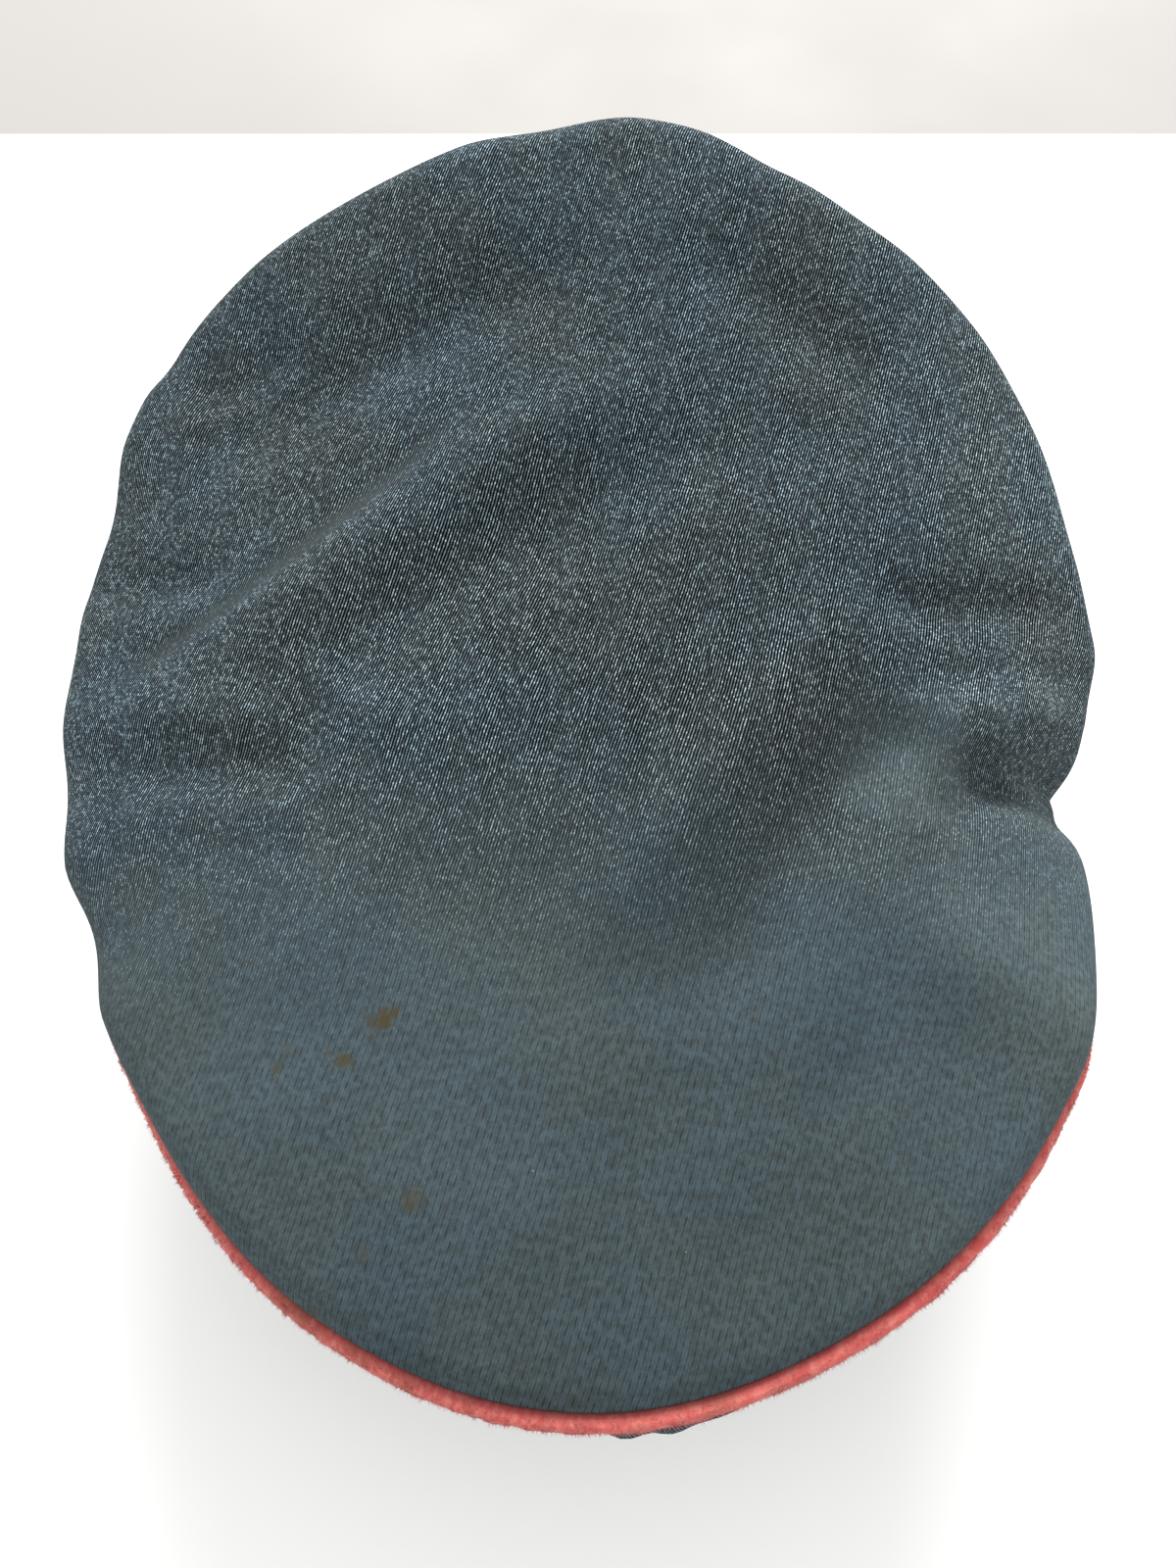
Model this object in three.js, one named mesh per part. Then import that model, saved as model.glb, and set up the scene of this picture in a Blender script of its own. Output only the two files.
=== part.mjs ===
// Crusher cap: a soft peaked cap with an oval crown, a welted crown edge, a cloth band and a plain peak.
// Millimetres, +Z up, the front of the cap towards -Y, the wearer's left towards +X.
// A turn is an angle about the crown's middle: 0 at the front, 90 at the wearer's left, 180 at the back.

import * as THREE from "three";

// Walls and clearances
const CLOTH_WALL = 2;
const BAND_WALL = 3;
const PEAK_WALL = 2.4;
const GAP = 0.3;

// Band: an oval for a head of about 57 cm, flat behind and lifted at the front by the peak
const BAND_HALF_WIDTH = 82;
const BAND_HALF_LENGTH = 100;
const BAND_HEIGHT = 42;
const BAND_FRONT_LIFT = 27;
const BAND_FLAT_FROM = 95;

// Peak
const PEAK_LENGTH = 42;
const PEAK_HALF_SPAN = 65;
const PEAK_ROUNDNESS = 0.6;
const PEAK_CAMBER = 2.5;

// Crown: height of the middle, slope through it towards the front, and how late the panel bends down
const CROWN_MIDDLE_HEIGHT = 106;
const CROWN_FRONT_RISE = 5;
const CROWN_BEND = 2.2;
const ROLL_RADIUS = 9;

// Degrees of fall that the roll may start from, and the least that it turns through
const ROLL_START = { least: -25, most: 60 };
const ROLL_LEAST_TURN = 10;

// Welt along the crown edge, and how far it nests between the two cloth edges at a sharp and a flat seam
const PIPING_HALF_WIDTH = 2.1;
const PIPING_HALF_DEPTH = 1.7;
const SHARP_SEAM = { halfAngle: 37.5, nest: 1.0 };
const FLAT_SEAM = { halfAngle: 70, nest: -0.7 };
const SEAM_CLEARANCE = 0.6;

// Fineness of the faceted walls
const TURN_STEPS = 88;
const DOME_RINGS = 12;
const ROLL_STEPS = 4;
const QUARTER_ROWS = 7;
const PIPING_SIDES = 8;
const PEAK_STEPS = 30;
const PEAK_ROWS = 5;

// Crown edge at even turns: reach from the middle, height where the roll starts, degrees that the panel
// rolls over, and degrees of rise with which the side cloth comes up to the seam
const RIM = [
  { turn: 0, reach: 146, height: 128, roll: 105, rise: 40 },
  { turn: 22.5, reach: 143, height: 121, roll: 105, rise: 35 },
  { turn: 45, reach: 144, height: 103, roll: 115, rise: 25 },
  { turn: 67.5, reach: 134.5, height: 85, roll: 125, rise: 15 },
  { turn: 90, reach: 125.5, height: 77, roll: 130, rise: 10 },
  { turn: 112.5, reach: 123.5, height: 77, roll: 125, rise: 15 },
  { turn: 135, reach: 125.5, height: 81, roll: 105, rise: 30 },
  { turn: 157.5, reach: 136, height: 86, roll: 70, rise: 55 },
  { turn: 180, reach: 142.5, height: 88, roll: 45, rise: 75 },
  { turn: 202.5, reach: 137, height: 86, roll: 52, rise: 70 },
  { turn: 225, reach: 129.5, height: 82, roll: 80, rise: 40 },
  { turn: 247.5, reach: 126.5, height: 78, roll: 120, rise: 20 },
  { turn: 270, reach: 126.5, height: 77, roll: 130, rise: 10 },
  { turn: 292.5, reach: 130.5, height: 85, roll: 125, rise: 15 },
  { turn: 315, reach: 143, height: 103, roll: 115, rise: 25 },
  { turn: 337.5, reach: 144, height: 121, roll: 105, rise: 35 },
];

// Dents in the outline: the turn of each, half its width in degrees, its depth, which is negative in a
// swelling, and its corner (2 is a round hollow, 1 is a sharp notch)
const RIM_DENTS = [
  { name: "right_pinch", turn: 261.5, halfWidth: 21, depth: 14.5, corner: 1.3 },
  { name: "left_front_scallop", turn: 66, halfWidth: 9, depth: 3.5, corner: 2 },
  { name: "left_middle_scallop", turn: 97, halfWidth: 9, depth: 1.5, corner: 2 },
  { name: "left_back_scallop", turn: 113, halfWidth: 9, depth: 2.5, corner: 2 },
  { name: "front_notch", turn: 6, halfWidth: 7, depth: 1.5, corner: 2 },
  { name: "front_swell", turn: 353, halfWidth: 13, depth: -2, corner: 2 },
];

// Folds of the top panel in plan: the line that each follows, the sideways bow of that line, half its
// width, and its height, which is negative in a hollow
const FOLDS = [
  { name: "left_crease", from: [28, -76], to: [122, -4], bow: 9, halfWidth: 7, height: -4 },
  { name: "left_ridge", from: [-18, -84], to: [82, -10], bow: 4.5, halfWidth: 11, height: 6 },
  { name: "middle_hollow", from: [-26, -72], to: [48, -12], bow: 4, halfWidth: 10, height: -3 },
  { name: "pinch_hollow", from: [-118, 21], to: [-74, 11], bow: 0, halfWidth: 9, height: -10 },
  { name: "pinch_front_ridge", from: [-122, -5], to: [-70, 7], bow: 4, halfWidth: 8, height: 5 },
  { name: "pinch_back_ridge", from: [-116, 42], to: [-66, 26], bow: -3, halfWidth: 9, height: 4 },
  { name: "right_front_ridge", from: [-124, -22], to: [-58, -10], bow: 2, halfWidth: 5, height: 3 },
  { name: "right_front_hollow", from: [-124, -33], to: [-60, -20], bow: 2, halfWidth: 7, height: -3 },
  { name: "right_plateau_edge", from: [-50, -14], to: [-10, 42], bow: -3, halfWidth: 14, height: 4 },
  { name: "right_plateau_foot", from: [-68, 2], to: [-32, 54], bow: -3, halfWidth: 13, height: -4 },
  { name: "left_upper_ridge", from: [120, -2], to: [58, 11], bow: 0, halfWidth: 7, height: 3 },
  { name: "left_pocket", from: [116, 14], to: [56, 19], bow: 0, halfWidth: 7, height: -5 },
  { name: "left_lower_ridge", from: [118, 26], to: [50, 30], bow: 0, halfWidth: 8, height: 3 },
  { name: "left_front_hollow", from: [124, -56], to: [86, -38], bow: 0, halfWidth: 8, height: -4 },
  { name: "front_left_hollow", from: [92, -78], to: [14, -108], bow: -4, halfWidth: 16, height: -5 },
  { name: "front_right_hollow", from: [-28, -110], to: [-76, -80], bow: -3, halfWidth: 14, height: -4 },
];
const FOLD_TAPER = 0.3;

// Slack puffs of the side cloth: the turn of each, half its width in degrees, and how far it stands out
const PUFFS = [
  { name: "back_seam_puff", turn: 184, halfWidth: 14, bulge: 12 },
  { name: "back_right_slack", turn: 206, halfWidth: 14, bulge: 4 },
  { name: "back_left_slack", turn: 152, halfWidth: 16, bulge: 4 },
  { name: "left_slack", turn: 120, halfWidth: 12, bulge: 4 },
  { name: "left_front_slack", turn: 75, halfWidth: 14, bulge: 3 },
  { name: "right_front_slack", turn: 290, halfWidth: 14, bulge: 4 },
  { name: "right_back_slack", turn: 238, halfWidth: 12, bulge: 4 },
];
const PUFF_CLIMB = 2.5;

// Seams between the side panels
const FRONT_SEAM = 2;
const LEFT_SEAM = 97;
const BACK_SEAM = 184;
const RIGHT_SEAM = 262;
const SEAM_MARGIN = 0.5;

// Looks
const CROWN_LOOK = { color: 0x4f5a5e, roughness: 0.9 };
const PIPING_LOOK = { color: 0xc2605c, roughness: 1 };
const BAND_LOOK = { color: 0x39444a, roughness: 0.95 };
const PEAK_LOOK = { color: 0x1d1b1a, roughness: 0.45 };

const DEGREE = Math.PI / 180;
const FULL_TURN = 360;
const RIM_STEP = FULL_TURN / RIM.length;

const sine = (degrees) => Math.sin(degrees * DEGREE);
const cosine = (degrees) => Math.cos(degrees * DEGREE);

// A smooth step from 0 to 1 as x goes from 0 to 1.
function smoothStep(x) {
  const t = THREE.MathUtils.clamp(x, 0, 1);
  return t * t * (3 - 2 * t);
}

// The shortest way round from one turn to another, in degrees.
function turnBetween(from, to) {
  return THREE.MathUtils.euclideanModulo(to - from + FULL_TURN / 2, FULL_TURN) - FULL_TURN / 2;
}

// A point at a turn, a reach from the crown's middle and a height.
function polarPoint(turn, reach, height) {
  return new THREE.Vector3(reach * sine(turn), -reach * cosine(turn), height);
}

// A column of the rim table at any turn, on a smooth closed curve through its rows.
function rimColumn(turn, column) {
  const place = THREE.MathUtils.euclideanModulo(turn, FULL_TURN) / RIM_STEP;
  const row = Math.floor(place);
  const t = place - row;
  const [a, b, c, d] = [-1, 0, 1, 2].map((k) => RIM[(row + k + RIM.length) % RIM.length][column]);
  return b + 0.5 * t * (c - a + t * (2 * a - 5 * b + 4 * c - d + t * (3 * (b - c) + d - a)));
}

// The outline's reach with its dents.
function rimReach(turn) {
  let reach = rimColumn(turn, "reach");
  for (const dent of RIM_DENTS) {
    const away = Math.abs(turnBetween(dent.turn, turn)) / dent.halfWidth;
    if (away < 1) reach -= dent.depth * (1 - away ** dent.corner) ** 2;
  }
  return reach;
}

// The height that the folds add to the panel at a place in plan.
function foldHeight(x, y) {
  let height = 0;
  for (const fold of FOLDS) {
    const [fromX, fromY] = fold.from;
    const lineX = fold.to[0] - fromX;
    const lineY = fold.to[1] - fromY;
    const length = Math.hypot(lineX, lineY);
    const along = ((x - fromX) * lineX + (y - fromY) * lineY) / length ** 2;
    if (along <= 0 || along >= 1) continue;
    const across = ((y - fromY) * lineX - (x - fromX) * lineY) / length;
    const away = (across - fold.bow * 4 * along * (1 - along)) / fold.halfWidth;
    const taper = smoothStep(along / FOLD_TAPER) * smoothStep((1 - along) / FOLD_TAPER);
    height += fold.height * taper * Math.exp(-away * away);
  }
  return height;
}

// The fall of the unfolded panel at its edge, in degrees.
function edgeFall(turn) {
  const rise = CROWN_FRONT_RISE * cosine(turn);
  const bend = rimColumn(turn, "height") - CROWN_MIDDLE_HEIGHT - rise;
  return -Math.atan2(rise + CROWN_BEND * bend, rimReach(turn)) / DEGREE;
}

// The reach of the panel where its roll starts.
function domeReach(turn) {
  return rimReach(turn) - ROLL_RADIUS * (1 - sine(edgeFall(turn)));
}

// The top panel inside its roll: share 0 is the middle and share 1 is where the roll starts.
function domePoint(turn, share) {
  const rise = CROWN_FRONT_RISE * cosine(turn);
  const bend = rimColumn(turn, "height") - CROWN_MIDDLE_HEIGHT - rise;
  const point = polarPoint(turn, share * domeReach(turn), 0);
  point.z = CROWN_MIDDLE_HEIGHT + rise * share + bend * share ** CROWN_BEND;
  point.z += foldHeight(point.x, point.y);
  return point;
}

// The start and the end of the roll at a turn: reach and height of its axis, and the angles that it spans.
function rollAt(turn) {
  const step = 0.02;
  const edge = domePoint(turn, 1);
  const before = domePoint(turn, 1 - step);
  const reach = domeReach(turn);
  const fall = Math.atan2(before.z - edge.z, reach * step) / DEGREE;
  const from = THREE.MathUtils.clamp(fall, ROLL_START.least, ROLL_START.most);
  return {
    reach: reach - ROLL_RADIUS * sine(from),
    height: edge.z - ROLL_RADIUS * cosine(from),
    from,
    to: Math.max(rimColumn(turn, "roll"), from + ROLL_LEAST_TURN),
  };
}

// The whole top panel: along 0 to 1 is the dome and 1 to 2 is the roll.
function crownPoint(turn, along) {
  if (along <= 1) return domePoint(turn, along);
  const roll = rollAt(turn);
  const angle = THREE.MathUtils.lerp(roll.from, roll.to, along - 1);
  const reach = roll.reach + ROLL_RADIUS * sine(angle);
  return polarPoint(turn, reach, roll.height + ROLL_RADIUS * cosine(angle));
}

// The crown seam at a turn. Reach and height of the point where the two cloths meet, half the angle between
// them, how far each stops short of the point, and the fall of the welt that stands out of the seam.
function seamAt(turn) {
  const roll = rollAt(turn);
  const rise = rimColumn(turn, "rise");
  const halfAngle = (roll.to + rise) / 2;
  const setback = SEAM_CLEARANCE + (CLOTH_WALL / 2 + GAP / 2) / Math.tan(halfAngle * DEGREE);
  const middle = ROLL_RADIUS - CLOTH_WALL / 2;
  return {
    reach: roll.reach + middle * sine(roll.to) + setback * cosine(roll.to),
    height: roll.height + middle * cosine(roll.to) - setback * sine(roll.to),
    rise,
    halfAngle,
    setback,
    fall: (roll.to - rise) / 2,
  };
}

// The welt: an oval round the line that the seam draws, at a turn and an angle round the oval.
function pipingPoint(turn, angle) {
  const seam = seamAt(turn);
  const share = (seam.halfAngle - SHARP_SEAM.halfAngle) / (FLAT_SEAM.halfAngle - SHARP_SEAM.halfAngle);
  const nest = THREE.MathUtils.lerp(SHARP_SEAM.nest, FLAT_SEAM.nest, share);
  const out = PIPING_HALF_WIDTH * (1 + cosine(angle)) - nest;
  const up = PIPING_HALF_DEPTH * sine(angle);
  return polarPoint(
    turn,
    seam.reach + out * cosine(seam.fall) + up * sine(seam.fall),
    seam.height - out * sine(seam.fall) + up * cosine(seam.fall),
  );
}

// The lift of the band's lower edge, none behind and most at the front.
function bandLift(turn) {
  return BAND_FRONT_LIFT * smoothStep(1 - Math.abs(turnBetween(0, turn)) / BAND_FLAT_FROM);
}

// The reach of the band's oval, a distance outside its inner face.
function bandReach(turn, outside) {
  const acrossHead = sine(turn) / (BAND_HALF_WIDTH + outside);
  const alongHead = cosine(turn) / (BAND_HALF_LENGTH + outside);
  return 1 / Math.hypot(acrossHead, alongHead);
}

// The band's outer face from its upper edge, share 0, to its lower edge, share 1.
function bandPoint(turn, share) {
  return polarPoint(turn, bandReach(turn, BAND_WALL), bandLift(turn) + BAND_HEIGHT * (1 - share));
}

// How far the side cloth puffs out at a turn.
function puffAt(turn) {
  let bulge = 0;
  for (const puff of PUFFS) {
    const away = Math.abs(turnBetween(puff.turn, turn)) / puff.halfWidth;
    if (away < 1) bulge += puff.bulge * (1 - away * away) ** 2;
  }
  return bulge;
}

// The side cloth's outer face from the crown seam, share 0, down to the band, share 1.
function quarterPoint(turn, share) {
  const seam = seamAt(turn);
  const topReach = seam.reach - seam.setback * cosine(seam.rise) + (CLOTH_WALL / 2) * sine(seam.rise);
  const topHeight = seam.height - seam.setback * sine(seam.rise) - (CLOTH_WALL / 2) * cosine(seam.rise);
  const footReach = bandReach(turn, BAND_WALL - GAP);
  const footHeight = bandLift(turn) + BAND_HEIGHT + GAP;
  const chord = Math.hypot(topReach - footReach, topHeight - footHeight);
  const chordRise = Math.atan2(topHeight - footHeight, topReach - footReach) / DEGREE;
  const footRise = 2 * chordRise - seam.rise;
  const s = Math.max(1 - share, 0);
  const fromFoot = s * (1 - s) ** 2 * chord;
  const fromTop = s * s * (s - 1) * chord;
  const blend = smoothStep(s);
  const puff = puffAt(turn) * Math.sin(Math.PI * s ** PUFF_CLIMB) ** 2;
  return polarPoint(
    turn,
    THREE.MathUtils.lerp(footReach, topReach, blend) +
      fromFoot * cosine(footRise) + fromTop * cosine(seam.rise) + puff,
    THREE.MathUtils.lerp(footHeight, topHeight, blend) +
      fromFoot * sine(footRise) + fromTop * sine(seam.rise),
  );
}

// The peak's upper face from under the band, share 0, to its free edge, share 1.
function peakPoint(turn, share) {
  const width = Math.max(1 - (turnBetween(0, turn) / PEAK_HALF_SPAN) ** 2, 0) ** PEAK_ROUNDNESS;
  const rootHeight = bandLift(turn) - GAP;
  const edgeHeight = THREE.MathUtils.lerp(rootHeight, PEAK_WALL, width);
  const camber = PEAK_CAMBER * width * 4 * share * (1 - share);
  return polarPoint(
    turn,
    bandReach(turn, 0) + share * (BAND_WALL + PEAK_LENGTH * width),
    THREE.MathUtils.lerp(rootHeight, edgeHeight, share) + camber,
  );
}

// The outward direction of a face that is given by a turn and a share.
function faceNormal(pointAt, turn, share) {
  const turnStep = 0.05;
  const shareStep = 0.002;
  const alongTurn = pointAt(turn + turnStep, share).sub(pointAt(turn - turnStep, share));
  const alongShare = pointAt(turn, share + shareStep).sub(pointAt(turn, Math.max(share - shareStep, 0)));
  return alongShare.cross(alongTurn).normalize();
}

// A list of evenly spaced values, both ends included.
function evenSteps(from, to, count) {
  return Array.from({ length: count + 1 }, (_, i) => THREE.MathUtils.lerp(from, to, i / count));
}

// A wall whose outer face runs through pointAt(turn, share) and whose inner face lies a wall behind it.
// A closed wall goes all the way round, and a wall with a pole starts from one point.
function wallGeometry(pointAt, turns, shares, wall, { closed = false, pole = false } = {}) {
  const columns = turns.length;
  const rows = shares.length;
  const positions = [];
  for (const face of ["outer", "inner"]) {
    for (const turn of turns) {
      for (const share of shares) {
        const point = pointAt(turn, share);
        const atPole = pole && share === 0;
        const normal = atPole ? new THREE.Vector3(0, 0, 1) : faceNormal(pointAt, turn, share);
        if (face === "inner") point.addScaledVector(normal, -wall);
        positions.push(point.x, point.y, point.z);
      }
    }
  }
  const outer = (i, j) => (i % columns) * rows + j;
  const inner = (i, j) => outer(i, j) + columns * rows;
  const index = [];
  const lastColumn = closed ? columns : columns - 1;
  for (let i = 0; i < lastColumn; i++) {
    for (let j = 0; j < rows - 1; j++) {
      if (!(pole && j === 0)) {
        index.push(outer(i, j), outer(i, j + 1), outer(i + 1, j));
        index.push(inner(i, j), inner(i + 1, j), inner(i, j + 1));
      }
      index.push(outer(i + 1, j), outer(i, j + 1), outer(i + 1, j + 1));
      index.push(inner(i + 1, j), inner(i + 1, j + 1), inner(i, j + 1));
    }
    const end = rows - 1;
    index.push(outer(i + 1, end), outer(i, end), inner(i, end));
    index.push(outer(i + 1, end), inner(i, end), inner(i + 1, end));
    if (!pole) {
      index.push(outer(i, 0), outer(i + 1, 0), inner(i + 1, 0));
      index.push(outer(i, 0), inner(i + 1, 0), inner(i, 0));
    }
  }
  if (!closed) {
    for (let j = 0; j < rows - 1; j++) {
      index.push(outer(0, j + 1), outer(0, j), inner(0, j));
      index.push(outer(0, j + 1), inner(0, j), inner(0, j + 1));
      index.push(outer(lastColumn, j), outer(lastColumn, j + 1), inner(lastColumn, j + 1));
      index.push(outer(lastColumn, j), inner(lastColumn, j + 1), inner(lastColumn, j));
    }
  }
  return facetedGeometry(positions, index);
}

// A ring whose section runs through pointAt(turn, angle).
function ringGeometry(pointAt, turns, sides) {
  const positions = [];
  for (const turn of turns) {
    for (let k = 0; k < sides; k++) {
      const point = pointAt(turn, (k * FULL_TURN) / sides);
      positions.push(point.x, point.y, point.z);
    }
  }
  const at = (i, k) => (i % turns.length) * sides + (k % sides);
  const index = [];
  for (let i = 0; i < turns.length; i++) {
    for (let k = 0; k < sides; k++) {
      index.push(at(i, k), at(i + 1, k), at(i, k + 1));
      index.push(at(i + 1, k), at(i + 1, k + 1), at(i, k + 1));
    }
  }
  return facetedGeometry(positions, index);
}

function facetedGeometry(positions, index) {
  const geometry = new THREE.BufferGeometry();
  geometry.setAttribute("position", new THREE.Float32BufferAttribute(positions, 3));
  geometry.setIndex(index);
  geometry.computeVertexNormals();
  return geometry;
}

// A named piece with its own matt material.
function piece(name, geometry, look) {
  const mesh = new THREE.Mesh(geometry, new THREE.MeshStandardMaterial({ ...look, metalness: 0 }));
  mesh.name = name;
  return mesh;
}

// The turns of a ring that closes on itself.
const RING_TURNS = evenSteps(0, FULL_TURN, TURN_STEPS).slice(0, -1);

function crownTop() {
  const shares = [...evenSteps(0, 1, DOME_RINGS), ...evenSteps(1, 2, ROLL_STEPS).slice(1)];
  const geometry = wallGeometry(crownPoint, RING_TURNS, shares, CLOTH_WALL, { closed: true, pole: true });
  return piece("crown_top", geometry, CROWN_LOOK);
}

// One side panel from seam to seam, half a gap short of each.
function quarter(name, fromSeam, toSeam) {
  const shorten = GAP / 2 / bandReach(fromSeam, BAND_WALL) / DEGREE;
  const end = fromSeam + THREE.MathUtils.euclideanModulo(toSeam - fromSeam, FULL_TURN);
  const within = [...RING_TURNS, ...RING_TURNS.map((turn) => turn + FULL_TURN)].filter(
    (turn) => turn > fromSeam + SEAM_MARGIN && turn < end - SEAM_MARGIN,
  );
  const turns = [fromSeam + shorten, ...within, end - shorten];
  const geometry = wallGeometry(quarterPoint, turns, evenSteps(0, 1, QUARTER_ROWS), CLOTH_WALL);
  return piece(name, geometry, CROWN_LOOK);
}

function crownPiping() {
  return piece("crown_piping", ringGeometry(pipingPoint, RING_TURNS, PIPING_SIDES), PIPING_LOOK);
}

function band() {
  const geometry = wallGeometry(bandPoint, RING_TURNS, [0, 1], BAND_WALL, { closed: true });
  return piece("band", geometry, BAND_LOOK);
}

function peak() {
  const turns = evenSteps(-PEAK_HALF_SPAN, PEAK_HALF_SPAN, PEAK_STEPS);
  const geometry = wallGeometry(peakPoint, turns, evenSteps(0, 1, PEAK_ROWS), PEAK_WALL);
  return piece("peak", geometry, PEAK_LOOK);
}

const cap = new THREE.Group();
cap.add(
  crownTop(),
  quarter("quarter_front_left", FRONT_SEAM, LEFT_SEAM),
  quarter("quarter_back_left", LEFT_SEAM, BACK_SEAM),
  quarter("quarter_back_right", BACK_SEAM, RIGHT_SEAM),
  quarter("quarter_front_right", RIGHT_SEAM, FRONT_SEAM),
  crownPiping(),
  band(),
  peak(),
);

// The origin is under the middle of the cap, on the surface that it rests on.
const extent = new THREE.Box3().setFromObject(cap);
cap.position.set(-(extent.min.x + extent.max.x) / 2, -(extent.min.y + extent.max.y) / 2, -extent.min.z);

export default cap;
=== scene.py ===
"""Crusher cap, dressed: ribbed cloth crown, felt welt, cloth band and leather peak on a pale table.

Forms are worked out in millimetres about the middle of the crown, with the front of the cap towards
-Y and the wearer's left towards +X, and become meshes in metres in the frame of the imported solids.
A turn is an angle about the crown's middle: 0 at the front, 90 at the wearer's left, 180 at the back.
"""

import logging
import math
from dataclasses import dataclass, field
from enum import Enum
from typing import ClassVar, Optional, Union

import bpy
import numpy as np
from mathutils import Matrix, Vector


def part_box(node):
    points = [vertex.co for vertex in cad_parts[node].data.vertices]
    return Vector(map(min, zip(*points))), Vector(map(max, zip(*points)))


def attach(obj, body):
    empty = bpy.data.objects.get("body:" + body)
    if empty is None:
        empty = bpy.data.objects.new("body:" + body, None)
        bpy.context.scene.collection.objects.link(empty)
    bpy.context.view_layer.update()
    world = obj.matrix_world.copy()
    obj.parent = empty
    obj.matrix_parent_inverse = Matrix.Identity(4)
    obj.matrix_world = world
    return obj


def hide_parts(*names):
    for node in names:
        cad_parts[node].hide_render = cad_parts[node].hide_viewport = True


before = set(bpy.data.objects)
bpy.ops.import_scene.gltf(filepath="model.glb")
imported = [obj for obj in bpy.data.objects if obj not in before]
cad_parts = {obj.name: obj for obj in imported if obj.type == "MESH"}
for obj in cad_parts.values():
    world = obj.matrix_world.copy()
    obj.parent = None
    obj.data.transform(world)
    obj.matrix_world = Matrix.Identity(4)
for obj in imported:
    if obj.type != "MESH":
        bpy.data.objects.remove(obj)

Array = np.ndarray
Socket = bpy.types.NodeSocket
Feed = Union[Socket, float, tuple]
Colour = tuple[float, float, float, float]

MM = 0.001
FULL_TURN = 360.0
TINY = 1e-9
EDGE_STEPS = 3
LOG = logging.getLogger("crusher_cap")


class Slot(Enum):
    """Material slots of the record."""

    CROWN_CLOTH = "crown_cloth"
    PIPING_FELT = "piping_felt"
    BAND_CLOTH = "band_cloth"
    PEAK_LEATHER = "peak_leather"


class Hold(Enum):
    """How a sheet of cloth is held."""

    DRAPED = "draped"
    STRETCHED = "stretched"


@dataclass(frozen=True)
class RimRow:
    """Crown edge at one turn.

    reach is from the middle, height is where the roll starts, roll is the angle that the panel turns
    over, and rise is the slope with which the side cloth comes up to the seam.
    """

    reach: float
    height: float
    roll: float
    rise: float


@dataclass(frozen=True)
class Dent:
    """A place where the crown edge is drawn in, or swells where depth is negative.

    turn and half_width are in degrees, and a lower corner makes the dent's tip sharper.
    """

    turn: float
    half_width: float
    depth: float
    corner: float = 2.0


@dataclass(frozen=True)
class Fold:
    """A ridge, or a hollow where height is negative, along a bowed line across the crown.

    wear is how far the cloth is rubbed along it, and taper the share of the line that each end fades over.
    """

    start: tuple[float, float]
    end: tuple[float, float]
    bow: float
    half_width: float
    height: float
    wear: float = 0.0
    taper: float = 0.3


@dataclass(frozen=True)
class Puff:
    """A place where the side cloth bags outwards, at a turn and over a half width in degrees."""

    turn: float
    half_width: float
    bulge: float


@dataclass(frozen=True)
class Mark:
    """A place on the crown in millimetres from its middle, for soil stains, rubbing, painted shade and
    painted light.
    """

    x: float
    y: float
    radius: float
    strength: float


# The rim stands at even turns, from the front round by the wearer's left
RIM = (
    RimRow(145, 128, 105, 40),
    RimRow(141.8, 121, 105, 35),
    RimRow(144.2, 103, 115, 25),
    RimRow(134.5, 85, 125, 15),
    RimRow(125.5, 77, 130, 10),
    RimRow(123.8, 77, 118, 15),
    RimRow(126.8, 81, 96, 32),
    RimRow(136.7, 86, 70, 55),
    RimRow(144.4, 88, 45, 75),
    RimRow(139.4, 86, 52, 70),
    RimRow(132, 82, 80, 40),
    RimRow(126.5, 78, 120, 20),
    RimRow(125, 77, 130, 10),
    RimRow(131.2, 85, 125, 15),
    RimRow(141.4, 103, 115, 25),
    RimRow(142.2, 121, 105, 35),
)

PINCH_TURN = 262.3

DENTS = (
    Dent(PINCH_TURN, 24, 14.5, 1.1),
    Dent(266, 4, -0.7),
    Dent(272, 9, 1),
    Dent(246, 14, 2.4),
    Dent(66, 9, 3.9),
    Dent(79, 8, 1.6),
    Dent(97, 9, 1.2),
    Dent(114, 9, 3.4),
    Dent(4, 9, 2.0),
    Dent(353, 13, -2.8),
)

LEFT_FOLDS = (
    Fold((24, -70), (122, -5), 8, 4, -1.6, wear=0.7),
    Fold((-30, -87), (104, 5), 2, 12, 4.5),
    Fold((-62, -83), (92, 22), -1, 12, -2.8, taper=0.4),
    Fold((120, -2), (58, 11), 0, 7, 2.4),
    Fold((106, 14), (50, 20), 0, 8, -2.2),
    Fold((118, 24), (50, 29), 0, 7, 1.4),
    Fold((66, -10), (32, 16), -3, 5, 1.6),
    Fold((136, -39), (74, -27), 0, 6.5, -3.4),
)

RIGHT_FOLDS = (
    Fold((-112, 21), (-76, 12), 0, 6, -6),
    Fold((-98, 15), (-70, 30), 0, 6, -3.5),
    Fold((-106, 20), (-88, 12), 0, 1.8, 1.4),
    Fold((-118, -4), (-62, 8), 2, 8, 5),
    Fold((-124, 70), (-56, 52), 3, 13, 3.5),
    Fold((-128, -21), (-62, -9), 2, 6, 1.5),
    Fold((-116, -31), (-56, -21), 2, 7, -4),
    Fold((-68, -29), (1, 66), -3, 9, 5.5),
    Fold((-75, -3), (-16, 80), -3, 9, -6),
    Fold((-92, -6), (-46, 26), 0, 6, -1.5),
)

FRONT_FOLDS = (
    Fold((104, -59), (-8, -111), 0, 12, -5),
    Fold((100, -76), (66, -92), 0, 7, -3.6),
    Fold((-12, -114), (-84, -64), 3, 11, -3.2),
    Fold((-8, -134), (-104, -84), 9, 9, 2.2),
)

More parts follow.
